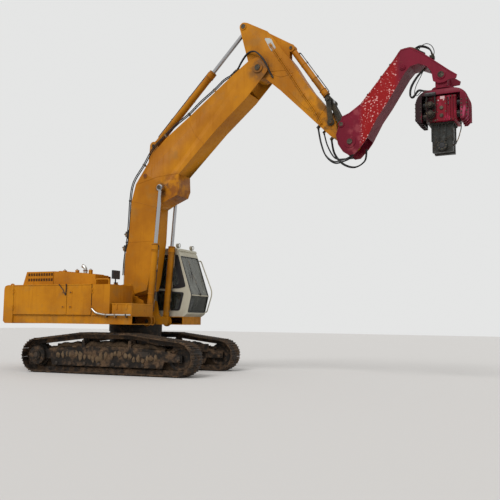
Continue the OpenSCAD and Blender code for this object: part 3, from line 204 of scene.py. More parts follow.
def circle(count, start=0.0):
    """Points (n, 2) round a circle of radius 1."""
    a = np.arange(count) * 2 * np.pi / count + start
    return np.column_stack([np.cos(a), np.sin(a)])


def round_y(count, radius, start=0.0):
    """Points round a circle that is square to Y."""
    return np.insert(circle(count, start) * radius, 1, 0, axis=1)


def tube(form, path, radius, sides=12, closed=False):
    """A round profile carried along a path."""
    return form.grid(carried(path, circle(sides) * radius, closed), closed, caps=not closed)


def bent(points, radius, turns=5):
    """A path through corner points, with each inner corner a quadratic arc of about that radius."""
    points = np.asarray(points, float)
    path = [points[0]]
    for before, corner, after in zip(points, points[1:], points[2:]):
        a, b = before - corner, after - corner
        reach = min(radius, np.linalg.norm(a) / 2, np.linalg.norm(b) / 2)
        start, end = corner + unit(a) * reach, corner + unit(b) * reach
        s = np.linspace(0, 1, turns + 1)[:, None]
        path.extend((1 - s) ** 2 * start + 2 * s * (1 - s) * corner + s ** 2 * end)
    path.append(points[-1])
    return np.array(path)


def turned(profile, centre, axis, sides):
    """Rings that the profile's points (along, radius) make round an axis through a centre."""
    profile, axis = np.asarray(profile, float), unit(axis)
    ring = circle(sides) @ np.array(sides_of(axis))
    return np.asarray(centre) + profile[:, :1, None] * axis + profile[:, 1:, None] * ring


def spun(form, profile, centre, axis, sides=24):
    """A profile turned round an axis, with its ends closed by caps."""
    return form.grid(turned(profile, centre, axis, sides), caps=True)


def turned_ring(form, centre, axis, inner, outer, width, sides=28):
    """A band round an axis: a rectangle with its outer corners cut, closed on itself."""
    cut = min(outer - inner, width) * 0.25
    profile = [(0, inner), (0, outer - cut), (cut, outer), (width - cut, outer),
               (width, outer - cut), (width, inner)]
    return form.grid(turned(profile, centre, axis, sides), wrap_rows=True)


def rounded_bar(form, low, high, radius, axis=2):
    """A box with its four long edges rounded: a rounded rectangle carried along an axis, drawn in at
    the ends."""
    low, high = np.asarray(low, float), np.asarray(high, float)
    others = [i for i in range(3) if i != axis]
    half = (high - low)[others] / 2 - radius
    around = circle(12, math.radians(15))
    along = np.array([low[axis], low[axis] + radius * 0.3, high[axis] - radius * 0.3, high[axis]])
    grow = np.array([0.4, 1.0, 1.0, 0.4])[:, None, None]
    flat = np.sign(around) * half + around * radius * grow
    points = np.zeros((4, len(around), 3))
    points[..., others] = flat + ((low + high) / 2)[others]
    points[..., axis] = along[:, None]
    return form.grid(points if axis != 1 else points[:, ::-1], caps=True)


def bolts(form, places, axis, radius, height=None):
    """Hexagon heads: a six-sided ring on a washer, raised along the axis and drawn in at its top.
    They are as high as their radius where no height is given."""
    head = Form()
    for sides, profile in ((12, [(-0.1, 1.35), (0.15, 1.35), (0.2, 1.2)]),
                           (6, [(0.1, 1.0), (0.85, 1.0), (1.0, 0.8)])):
        spun(head, np.array(profile) * (height or radius, radius), (0, 0, 0), Z, sides)
    places = np.asarray(places, float).reshape(-1, 3)
    return form.repeat(head, places, np.array([*sides_of(axis), unit(axis)]))


def plate(form, outline, thick, origin, across, up):
    """A flat outline (n, 2) laid out on two directions and thickened along the third, its edge drawn
    in at the top."""
    outline, across, up = np.asarray(outline, float), unit(across), unit(up)
    out, middle = np.cross(across, up), outline.mean(0)
    rim = min(0.004, thick * 0.4)
    inner = middle + (outline - middle) * (1 - rim / np.abs(outline - middle).max())
    levels = [(outline, 0.0), (outline, thick - rim), (inner, thick)]
    rings = [np.asarray(origin) + flat[:, :1] * across + flat[:, 1:] * up + out * rise
             for flat, rise in levels]
    return form.grid(np.stack(rings), caps=True)


def rounded_outline(points, radius, turns=4):
    """A closed outline with each corner replaced by a quadratic arc of about that radius."""
    points = np.asarray(points, float)
    before, after = np.roll(points, 1, 0) - points, np.roll(points, -1, 0) - points
    shorter = np.minimum(np.linalg.norm(before, axis=1), np.linalg.norm(after, axis=1))
    reach = np.minimum(radius, shorter / 2)[:, None]
    start, end = points + unit(before) * reach, points + unit(after) * reach
    s = np.linspace(0, 1, turns + 1)[None, :, None]
    arcs = (1 - s) ** 2 * start[:, None] + 2 * s * (1 - s) * points[:, None] + s ** 2 * end[:, None]
    return arcs.reshape(-1, 2)


def rectangle(half_width, half_height, radius):
    """The outline of a rounded rectangle round the origin."""
    corners = np.array([(-1, -1), (1, -1), (1, 1), (-1, 1)]) * (half_width, half_height)
    return rounded_outline(corners, radius)


def in_plane(outline, y):
    """Points (x, z), one or many, at a distance y from the middle plane, moved into the frame."""
    x, z = np.moveaxis(np.asarray(outline, float), -1, 0)
    return from_axis(np.stack([x, np.full_like(x, y), z], -1))


def upright(way):
    """A direction (x, z) as a direction in space."""
    return np.array([way[0], 0, way[1]])


def spot(line, at):
    """The place, direction and outward side at so many corners along an outline."""
    i = int(at)
    ahead = unit(line[i + 1] - line[i])
    return line[i] + (line[i + 1] - line[i]) * (at - i), ahead, np.array([-ahead[1], ahead[0]])


# Undercarriage: the loops of shoes, worked out along the same path as the solids

TRACK_LENGTH, END_HEIGHT, MID_HEIGHT, CARRIER_GAP = 4.4, 0.79, 0.94, 1.2
SHOES, SHOE_WIDTH, CHAIN_HEIGHT, SHOE_RISE = 49, 0.6, 0.095, 0.045
LINK_PLACE, LINK_THICK, LINK_OFFSET, PIN_DEPTH = 0.078, 0.034, 0.006, 0.05
TRACK_GAUGE, CARRIER_RADIUS, TRACK_TURN = 2.38, 0.07, math.radians(6)
END_RADIUS = END_HEIGHT / 2
ARC_RADIUS = END_RADIUS - SHOE_RISE
WHEEL_PLACE = TRACK_LENGTH / 2 - END_RADIUS
TRACK_AXES = np.array([(math.cos(TRACK_TURN), math.sin(TRACK_TURN), 0),
                       (-math.sin(TRACK_TURN), math.cos(TRACK_TURN), 0), Z])
# How far the side frame's outer face lies from the track's middle
FRAME_FACE = 0.165


def under(points, side):
    """Points (along, outwards from the track's middle, up) on one side of the undercarriage, in the
    frame."""
    points = np.asarray(points, float) * (1, side, 1) + (0, side * TRACK_GAUGE / 2, 0)
    return points @ TRACK_AXES + AXIS


class ShoePath:
    """Front half from the bottom's middle: straight run, arc round the end wheel, slope, arc over the carrier
    roller, straight top. The rear half mirrors it."""

    def __init__(self):
        self.top_radius = CARRIER_RADIUS + CHAIN_HEIGHT
        self.carrier = np.array([CARRIER_GAP / 2, MID_HEIGHT - SHOE_RISE - self.top_radius])
        self.wheel = np.array([WHEEL_PLACE, END_RADIUS])
        reach = self.carrier - self.wheel
        distance, shrink = np.linalg.norm(reach), ARC_RADIUS - self.top_radius
        self.tangent = math.atan2(reach[1], reach[0]) - math.acos(shrink / distance)
        self.legs = np.cumsum([WHEEL_PLACE, ARC_RADIUS * (self.tangent + math.pi / 2),
                               math.sqrt(distance ** 2 - shrink ** 2),
                               self.top_radius * (math.pi / 2 - self.tangent), CARRIER_GAP / 2])
        self.half = self.legs[-1]

    def at(self, s):
        """Points (n, 2) and outward angles at distances s along the whole loop."""
        s = np.asarray(s, float) % (2 * self.half)
        rear = s > self.half
        t = np.where(rear, 2 * self.half - s, s)
        a, b, c, d, _ = self.legs
        part = [t < a, t < b, t < c, t < d]
        angle = np.select(part, [np.full_like(t, -math.pi / 2), -math.pi / 2 + (t - a) / ARC_RADIUS,
                                 np.full_like(t, self.tangent), self.tangent + (t - c) / self.top_radius],
                          np.full_like(t, math.pi / 2))
        out = np.stack([np.cos(angle), np.sin(angle)], -1)
        ahead = np.array([-math.sin(self.tangent), math.cos(self.tangent)])
        slope_start = self.wheel + ARC_RADIUS * np.array([math.cos(self.tangent), math.sin(self.tangent)])
        low = np.stack([t, np.full_like(t, SHOE_RISE)], -1)
        top = np.stack([self.carrier[0] - (t - d), np.full_like(t, self.carrier[1] + self.top_radius)], -1)
        points = np.select([p[:, None] for p in part],
                           [low, self.wheel + ARC_RADIUS * out, slope_start + (t - b)[:, None] * ahead,
                            self.carrier + self.top_radius * out], top)
        points[:, 0] *= np.where(rear, -1, 1)
        return points, np.where(rear, math.pi - angle, angle)


SHOE_PATH = ShoePath()
PITCH = 2 * SHOE_PATH.half / SHOES
SHOE_PLACES = (np.arange(SHOES) + 0.5) * PITCH


def track_frames(s, side):
    """Places and axes (ahead, across, out) on one loop, turned with the undercarriage."""
    points, angle = SHOE_PATH.at(s)
    zero = np.zeros_like(angle)
    ahead = np.stack([-np.sin(angle), zero, np.cos(angle)], -1)
    out = np.stack([np.cos(angle), zero, np.sin(angle)], -1)
    across = np.broadcast_to([0.0, 1.0, 0.0], out.shape)
    places = np.stack([points[:, 0], zero, points[:, 1]], -1)
    return under(places, side), np.stack([ahead, across, out], 1) @ TRACK_AXES


def shoe_shape():
    """A shoe: an outline of plate and three bars, as (share of pitch, rise), carried across it."""
    outline = np.array([
        (-.49, 0), (-.49, .014), (-.41, .018), (-.38, .041), (-.34, .045), (-.31, .041), (-.28, .019),
        (-.08, .018), (-.05, .04), (-.01, .044), (.02, .04), (.05, .019), (.25, .018), (.28, .041),
        (.32, .045), (.36, .041), (.39, .018), (.49, .016), (.53, .006), (.47, 0)])
    across = np.array([-.5, -.485, 0, .485, .5]) * SHOE_WIDTH
    shrink = np.array([.75, 1, 1, 1, .75])
    points = np.zeros((len(across), len(outline), 3))
    points[..., 0] = outline[:, 0] * PITCH
    points[..., 1] = across[:, None]
    points[..., 2] = outline[:, 1] * shrink[:, None]
    form = Form().grid(points, caps=True)
    holes = [(x * PITCH, y, .017) for x in (-.18, .15) for y in (-.08, .08)]
    return bolts(form, holes, Z, 0.012)


def link_shape(offset):
    """A chain link: a plate with a round eye at each end, its rear end set inwards by the offset, and
    a pin across at its rear."""
    a = np.linspace(0, 2 * np.pi, 24, endpoint=False)
    reach = 0.5 * PITCH
    x = np.sign(np.cos(a)) * reach + 0.047 * np.cos(a)
    waist = 1 - 0.25 * np.exp(-(x / (0.35 * reach)) ** 2)
    z = np.where(np.sin(a) > 0, PIN_DEPTH, 0.045) * np.sin(a) * waist - PIN_DEPTH
    form = Form()
    for face in (-1, 1):
        rings = []
        for level in (0.0, 1.0):
            y = face * (LINK_PLACE + LINK_THICK * (level - 0.5)) + offset * face * np.sign(x)
            rings.append(np.column_stack([x, y, z]))
        form.grid(np.stack(rings), caps=True)
    pin = LINK_PLACE + LINK_THICK
    return spun(form, [(-pin, .012), (-pin + .006, .02), (pin - .006, .02), (pin, .012)],
                (-reach, 0, -PIN_DEPTH), Y, 10)


def make_tracks():
    for name, side in (("right", RIGHT), ("left", LEFT)):
        places, axes = track_frames(SHOE_PLACES, side)
        belt = Form().repeat(shoe_shape(), places, axes).repeat(link_shape(LINK_OFFSET), places, axes)
        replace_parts(belt.make("shoe_belt_" + name, "undercarriage", "track_steel"), "track_" + name)


def clod(rng, size):
    """A lump: a ball of latitude and longitude whose radius swells and dents with a few sines."""
    u, v = np.meshgrid(np.linspace(0.12, np.pi - 0.12, 7), np.arange(12) * np.pi / 6, indexing="ij")
    phases = rng.uniform(0, 6.28, 6)
    swell = (1 + 0.2 * np.sin(2 * v + phases[0]) * np.sin(u * 2 + phases[1])
             + 0.14 * np.sin(5 * v + phases[2] + 3 * u)
             + 0.1 * np.sin(7 * v + phases[3]) * np.sin(5 * u + phases[4]))
    ball = np.stack([np.sin(u) * np.cos(v), np.sin(u) * np.sin(v), np.cos(u)], -1) * swell[..., None]
    return Form().grid(ball * size, caps=True)


def make_mud():
    """Clods packed on the side frames' outer faces and along their tops."""
    rng = np.random.default_rng(7)
    form = Form()
    for side in (RIGHT, LEFT):
        for x in np.arange(-1.25, 1.3, 0.115):
            z = 0.40 + 0.05 * math.sin(5 * x) + rng.uniform(-0.03, 0.03)
            size = np.array([rng.uniform(.03, .06), rng.uniform(.018, .03), rng.uniform(.05, .1)])
            place = under((x + rng.uniform(-.03, .03), FRAME_FACE, z), side)
            form.repeat(clod(rng, size), [place], TRACK_AXES)
        for x in np.arange(-1.5, 1.6, 0.17):
            size = np.array([rng.uniform(.04, .09), rng.uniform(.05, .1), rng.uniform(.018, .035)])
            place = under((x, rng.uniform(.04, .12), 0.6 - 0.06 * (abs(x) > .9)), side)
            form.repeat(clod(rng, size), [place], TRACK_AXES)
    form.make("mud_clods", "undercarriage", "track_steel", "dried_mud", LUMPY)


def make_packed_mud():
    """A bank of mud on each side frame, up to the chain: a flattened round section carried along the
    frame, its top and foot given at places along it, both roughened by a few sines."""
    x, a = np.meshgrid(np.linspace(-1.46, 1.46, 74), np.arange(18) * np.pi / 9, indexing="ij")
    top = np.interp(np.abs(x), [0, .48, .56, .66, .8, 1.2, 1.46],
                    [.735, .725, .665, .67, .71, .68, .60])
    foot = np.interp(np.abs(x), [0, 1.26, 1.34, 1.46], [.57, .57, .27, .30])
    rough = (.014 * np.sin(17 * x + 2 * a) + .011 * np.sin(41 * x - 3 * a + 1)
             + .008 * np.sin(67 * x + 5 * a))
    rise, reach = (np.sign(wave) * np.abs(wave) ** .6 for wave in (np.sin(a), np.cos(a)))
    up = (top + foot) / 2 + (top - foot) / 2 * rise + rough * (np.sin(a) > -.2)
    bank = np.stack([x, reach * .135 + rough * .7, up], -1)
    wall = rounded_bar(Form(), (-1.7, -.02, .13), (1.7, .02, .6), .015, 0)
    form = Form()
    for side in (RIGHT, LEFT):
        form.grid(under(bank, side), caps=True)
        form.repeat(wall, [under((0, 0, 0), side)], TRACK_AXES)
        for place in (-WHEEL_PLACE, WHEEL_PLACE):
            spun(form, [(-.02, .25), (.02, .25)], under((place, 0, END_RADIUS), side),
                 TRACK_AXES[1], 32)
    form.make("packed_mud", "undercarriage", "track_steel", "packed_mud", LUMPY)


# Cords: hoses that hang free at the joints, along the same routes as their solids

HOSE_RADIUS, THIN_RADIUS = 0.016, 0.008
# Body, body at the far end, route
ROUTES = {
    "hose_tip": ("boom", "stick", [
        (2.76, -0.15, 7.11), (2.9, -0.19, 7.3), (3.08, -0.26, 7.43), (3.28, -0.32, 7.42),
        (3.44, -0.33, 7.28), (3.56, -0.31, 7.1), (3.64, -0.26, 6.9), (3.7, -0.218, 6.78)]),
    "hose_loop_a": ("stick", "gooseneck", [
        (4.75, -0.06, 5.52), (4.83, -0.08, 5.15), (4.95, -0.1, 4.85), (5.15, -0.12, 4.68),
        (5.35, -0.12, 4.7), (5.5, -0.11, 4.76), (5.57, -0.11, 4.84)]),
    "hose_loop_b": ("stick", "gooseneck", [
        (5.0, 0.09, 5.28), (5.06, 0.11, 4.95), (5.25, 0.12, 4.7), (5.52, 0.12, 4.6),
        (5.75, 0.11, 4.72), (5.8, 0.09, 4.97)]),
    "hose_loop_c": ("stick", "gooseneck", [
        (4.86, 0.0, 5.42), (4.95, 0.0, 5.1), (5.12, 0.0, 4.82), (5.35, 0.0, 4.78), (5.55, 0.0, 4.78)]),
    "hose_crown": ("gooseneck", None, [
        (6.85, 0.04, 7.0), (7.0, 0.06, 7.06), (7.18, 0.06, 6.98), (7.25, 0.05, 6.83)]),
    "hose_head": ("gooseneck", "head_yoke", [
        (7.1, -0.06, 6.528), (6.96, -0.11, 6.38), (6.83, -0.15, 6.15), (6.81, -0.16, 5.96),
        (6.87, -0.15, 5.93), (6.98, -0.13, 6.06), (7.13, -0.12, 6.01)]),
}
# How far a second strand lies beside the first
BESIDE = {"hose_tip": (0, .042, .008), "hose_loop_a": (0, -.05, .02), "hose_loop_b": (0, .05, .02),
          "hose_crown": (0, -.06, .0), "hose_head": (0, .05, .0)}
# Thinner loops beside some of them
THIN = {
    "hose_crown": [(6.95, -.03, 6.915), (7.02, -.035, 7.03), (7.13, -.035, 7.075),
                   (7.235, -.03, 7.02), (7.29, -.02, 6.9), (7.275, -.02, 6.79)],
    "hose_head": [(7.06, .05, 6.56), (7.0, .04, 6.42), (6.9, .03, 6.22), (6.87, .0, 6.05),
                  (6.93, -.03, 5.98), (7.04, -.06, 6.06), (7.15, -.08, 6.04)]}


def make_hoses():
    """Each hose is a round profile carried along its route's smooth curve; most have a second one
    beside them. A hose that crosses a joint is left without a parent. Crimped sleeves sit on the
    ends, on the loops only where they leave the stick, whose blocks hold them there."""
    sleeves = {}
    for name, (body, far_body, route) in ROUTES.items():
        main = curve_through(from_axis(route), 8)
        bulge = (0.55 + 0.6 * np.sin(np.linspace(0, np.pi, len(main))))[:, None]
        strands = [(main, HOSE_RADIUS)]
        if name in BESIDE:
            strands.append((main + bulge * BESIDE[name], HOSE_RADIUS))
        if name in THIN:
            strands.append((curve_through(from_axis(THIN[name]), 8), THIN_RADIUS))
        for number, (path, radius) in enumerate(strands, 1):
            hose = tube(Form(), path, radius).make("%s_rubber_%d" % (name, number), body, "hose_rubber")
            if far_body:
                hose.parent = None
                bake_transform(hose)
            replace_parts(hose, name)
            2 * radius
            sleeve = [(-.012, radius * .8), (-.01, radius * 1.3), (.045, radius * 1.3),
                      (.05, radius * 1.05)]
            ends = [(0, 1, body)] if "loop" in name else [(0, 1, body), (-1, -2, far_body or body)]
            for end, after, host in ends:
                spun(sleeves.setdefault(host, Form()), sleeve, path[end], path[after] - path[end], 12)
    for host, form in sleeves.items():
        form.make("hose_sleeves_" + host, host, "hose_rubber", "pin_steel")
    blocks = Form()
    for x, z, y, width in ((4.75, 5.52, -.074, .085), (4.86, 5.42, 0, .05), (5.0, 5.28, .104, .085)):
        block_on(blocks, from_axis([x, y, z]), (.72, -.69), (.69, .72), (.05, width, .075), -.024)
    blocks.make("hose_blocks", "stick", "hose_rubber", "dark_steel")


# Finishes: shader maths written as expressions on sockets

class Tone:
    """A value flowing through one material; arithmetic on it adds Math nodes."""

    def __init__(self, finish, socket):
        self.finish, self.socket = finish, socket

    def maths(self, operation, *values):
        return self.finish.node("ShaderNodeMath", {"operation": operation}, dict(enumerate(values)))

    def __add__(self, other):
        return self.maths("ADD", self, other)

    def __sub__(self, other):
        return self.maths("SUBTRACT", self, other)

    def __rsub__(self, other):
        return self.maths("SUBTRACT", other, self)

    def __mul__(self, other):
        return self.maths("MULTIPLY", self, other)

    __radd__, __rmul__ = __add__, __mul__

    def between(self, low, high):
        """0 below low, 1 above high, and a smooth step between them."""
        return self.finish.node("ShaderNodeMapRange", {"interpolation_type": "SMOOTHSTEP"},
                                {"Value": self, "From Min": low, "From Max": high})


class Finish:
    """A material whose nodes come from one method."""

    def __init__(self, name):
        self.material = bpy.data.materials.new(name)
        self.material.use_nodes = True
        self.tree = self.material.node_tree
        self.shader = self.tree.nodes["Principled BSDF"]

    def node(self, kind, settings=None, values=None, out=0):
        made = self.tree.nodes.new(kind)
        for key, value in (settings or {}).items():
            setattr(made, key, value)
        for key, value in (values or {}).items():
            self.give(made.inputs[key], value)
        return Tone(self, made.outputs[out])

    def give(self, socket, value):
        if isinstance(value, Tone):
            self.tree.links.new(value.socket, socket)
        else:
            socket.default_value = value

    def place(self, stretch=(1, 1, 1)):
        """Object coordinates, stretched along the axes."""
        here = self.node("ShaderNodeTexCoord", out="Object")
        return self.node("ShaderNodeMapping", {}, {"Vector": here, "Scale": stretch})

    def along(self, axis):
        """One of the object's coordinates: 0 ahead, 1 across, 2 up."""
        here = self.node("ShaderNodeTexCoord", out="Object")
        return self.node("ShaderNodeSeparateXYZ", {}, {0: here}, out=axis)

    def height(self):
        return self.along(2)

    def noise(self, scale, detail=4, stretch=(1, 1, 1), rough=0.55):
        return self.node("ShaderNodeTexNoise", {}, {
            "Vector": self.place(stretch), "Scale": scale, "Detail": detail, "Roughness": rough})

    def blend(self, first, second, share):
        """The first colour where share is 0 and the second where it is 1."""
        return self.node("ShaderNodeMix", {"data_type": "RGBA"}, {0: share, 6: first, 7: second}, out=2)

    def bump(self, height, strength, distance):
        return self.node("ShaderNodeBump", {}, {"Height": height, "Strength": strength, "Distance": distance})

    def finish(self, **sockets):
        for name, value in sockets.items():
            self.give(self.shader.inputs[name.replace("_", " ")], value)
        return self.material


def colour(red, green, blue):
    return (red, green, blue, 1)


DUST = colour(0.30, 0.20, 0.11)
MUD = colour(0.085, 0.05, 0.028)
GREASE = colour(0.02, 0.016, 0.012)
RUST = colour(0.17, 0.06, 0.02)
GOLD, GOLD_DEEP = colour(0.47, 0.182, 0.004), colour(0.27, 0.085, 0.002)
GOLD_STAIN, RED_STAIN = colour(.25, .125, .03), colour(0.10, 0.012, 0.018)
CRIMSON, CRIMSON_DEEP = colour(0.175, 0.004, 0.02), colour(0.075, 0.003, 0.01)
# A dust line below the ground, so that none lies on the paint
NO_DUST = -5


def painted(name, base, deep, dust_top=1.6, dirt=0.5, rough=0.5, wear=0.6, changes=(),
            stain_tone=GOLD_STAIN):
    """Faded paint: broad tone changes, rain streaks, dust near the ground, chips down to rust."""
    f = Finish(name)
    tone = f.noise(0.8, 5).between(0.35, 0.68)
    skin = f.blend(base, deep, tone * 0.8)
    streaks = f.noise(5, 5, (3, 3, 0.25)).between(0.5, 0.75)
    skin = f.blend(skin, deep, streaks * dirt * 0.8)
    stain = f.noise(2.4, 8).between(0.56, 0.74)
    skin = f.blend(skin, stain_tone, stain * dirt)
    low = 1 - f.height().between(dust_top - 0.7, dust_top + 0.2)
    splash = f.noise(7, 8).between(0.42, 0.6)
    skin = f.blend(skin, stain_tone, low * splash * dirt)
    chips = f.noise(26, 6).between(0.66, 0.7) * wear
    skin = f.blend(skin, RUST, chips)
    rough_here = rough + 0.2 * streaks + 0.25 * low * splash + 0.2 * chips
    relief = f.noise(150, 2) * 0.3 + f.noise(20, 5) * 0.7 - chips
    for change in changes:
        skin = change(f, skin)
    return f.finish(Base_Color=skin, Roughness=rough_here, Specular_IOR_Level=0.14,
                    Normal=f.bump(relief, 0.12, 0.004))


def along_frame(f, x):
    """How far a point lies ahead of a place measured from the slewing axis."""
    return f.along(0) - (x + float(AXIS[0]))


def speckled(f, skin):
    """The neck's middle is repainted in a clearer red with pale flecks on its sides, and its top and bottom faces
    there are darkened as painted shade; its foot has a pale patch of wear."""
    across = f.along(1)
    sides = across.maths("ABSOLUTE", across).between(.235, .243)
    painted_shade_span = along_frame(f, 5.6).between(0, .1) * (1 - along_frame(f, 6.8).between(0, .2))
    # Painted shade: the top and bottom faces along the neck's middle are blended towards the deep crimson
    skin = f.blend(skin, CRIMSON_DEEP, (1 - sides) * painted_shade_span * .4)
    zone = along_frame(f, 5.78).between(-.07, .07) * (1 - along_frame(f, 6.55).between(-.08, .1)) * sides
    flecks = f.noise(27, 3, (1, 1, 1), 0.4).between(0.60, 0.63) * f.noise(4, 2).between(0.35, 0.55)
    clear = f.blend(colour(0.25, 0.003, 0.004), colour(0.66, 0.34, 0.32), flecks)
    skin = f.blend(skin, clear, zone)
    patch = along_frame(f, 5.45).between(-.05, .15) * (1 - along_frame(f, 5.75).between(-.05, .08))
    return f.blend(skin, colour(0.28, 0.05, 0.06), patch * f.noise(5, 4).between(0.45, 0.62) * 0.6)


def darkened_left(f, skin):
    """The hammer's left side is darkened in black patches, thinning out towards its middle, and bright pink
    patches right of its middle are a painted highlight."""
    # Painted highlight: bright pink patches right of the hammer's middle
    painted_sheen = f.noise(7, 4, (1, 1, .5)).between(0.56, 0.68) * along_frame(f, HEAD).between(-.1, .05)
    skin = f.blend(skin, colour(0.42, 0.02, 0.07), painted_sheen * 0.7)
    # Darker towards the left, in black patches
    share = 1 - along_frame(f, HEAD - .12).between(-.16, .12)
    return f.blend(skin, colour(.014, .009, .009), share * f.noise(6, 5).between(0.26, 0.46) * 0.93)


def darkened_left_of_hammer(f, skin):
    """The same darkening on the housing only, which begins below the neck's crown; its right side has pale
    pink streaks as a painted highlight."""
    housing = along_frame(f, 6.86).between(-.04, .04) * (1 - f.height().between(6.0, 6.1))
    # Painted highlight: pale pink streaks on the housing's right side
    painted_sheen_streaks = along_frame(f, HEAD + .3).between(-.1, .1) * f.noise(9, 4, (1.5, 1.5, .35)).between(0.54, 0.66)
    skin = f.blend(skin, colour(0.40, 0.06, 0.12), painted_sheen_streaks * housing * 0.75)
    # Darker towards the left, in black patches
    share = (1 - along_frame(f, HEAD - .24).between(-.16, .12)) * housing
    return f.blend(skin, colour(.012, .007, .008), share * f.noise(6, 5).between(0.22, 0.42) * 0.95)


def greased_joint(f, skin):
    """Grease and soot round the lower end of the stick."""
    share = along_frame(f, 4.75).between(-.5, .35)
    return f.blend(skin, colour(0.05, 0.03, 0.015), share * f.noise(5, 6).between(0.42, 0.62) * 0.75)


def stained_round(x, z, reach, tone, strength):
    """A change that stains the skin round a pin, fading out at a distance from it."""
    def change(f, skin):
        ahead, up = along_frame(f, x), f.height() - z
        share = 1 - (ahead * ahead + up * up).between(reach ** 2 * .15, reach ** 2)
        return f.blend(skin, tone, share * f.noise(6, 6).between(0.36, 0.58) * strength)
    return change


def muddy_steel(name, base, mud, amount=0.5, rough=0.6, metal=0.5):
    """Dark steel with mud caked on in patches and bare metal between."""
    f = Finish(name)
    patch = f.noise(5, 9, rough=0.65).between(0.5 - amount * 0.22, 0.68 - amount * 0.1)
    crumbs = f.noise(60, 5)
    bare = f.blend(base, GREASE, f.noise(11, 4).between(0.45, 0.7) * 0.6)
    caked = f.blend(mud, DUST, crumbs.between(0.45, 0.75) * 0.3)
    return f.finish(Base_Color=f.blend(bare, caked, patch), Metallic=(1 - patch) * metal, Specular_IOR_Level=0.2,
                    Roughness=rough + 0.3 * patch, Normal=f.bump(crumbs * 0.5 + patch, 0.5, 0.012))


def rubber(name, base=(0.012, 0.012, 0.013, 1), rough=0.48):
    """Black hose or moulding, greyed by dust in patches."""
    f = Finish(name)
    dusty = f.noise(14, 6).between(0.5, 0.72)
    return f.finish(Base_Color=f.blend(base, colour(0.07, 0.06, 0.05), dusty * 0.35), Roughness=rough + 0.3 * dusty,
                    Specular_IOR_Level=0.3, Normal=f.bump(f.noise(200, 2), 0.1, 0.001))


def bright_steel(name, base, rough=0.12, stain=0.3):
    """Polished rod with a few oily smears along it."""
    f = Finish(name)
    smear = f.noise(6, 6, (1, 1, 0.4)).between(0.5, 0.75)
    return f.finish(Base_Color=f.blend(base, colour(0.2, 0.18, 0.15), smear * stain), Metallic=1.0,
                    Roughness=rough + 0.35 * smear)


def glass(name, base):
    """Tinted pane with dust; the upper half of the windscreen, which leans back, is made pale as a painted
    reflection, mottled by the dust.
    """
    f = Finish(name)
    dust = f.noise(4, 7).between(0.45, 0.8)
    # Painted reflection: above the belt, where the windscreen leans back, the pane is blended to pale grey and made
    # less clear
    leaning = along_frame(f, 1.262) + (f.height() - 1.86) * 0.345
    pale = leaning.between(-.10, -.06) * f.height().between(1.87, 1.9) * (0.75 + 0.25 * dust)
    skin = f.blend(base, colour(0.12, 0.12, 0.09), dust * 0.3)
    return f.finish(Base_Color=f.blend(skin, colour(0.215, 0.22, 0.195), pale), Roughness=0.07 + 0.3 * dust,
                    Metallic=0.0, Alpha=0.6 + 0.15 * dust + 0.15 * pale, Specular_IOR_Level=0.3)


def cloth(name, base):
    """Seat cloth: a fine two-way rib."""
    f = Finish(name)
    weave = f.noise(90, 2, (1, 1, 0.2)) * 0.5 + f.noise(90, 2, (0.2, 1, 1)) * 0.5
    return f.finish(Base_Color=f.blend(base, colour(0.1, 0.1, 0.11), weave.between(0.4, 0.6) * 0.6),
                    Roughness=0.9, Normal=f.bump(weave, 0.5, 0.002))


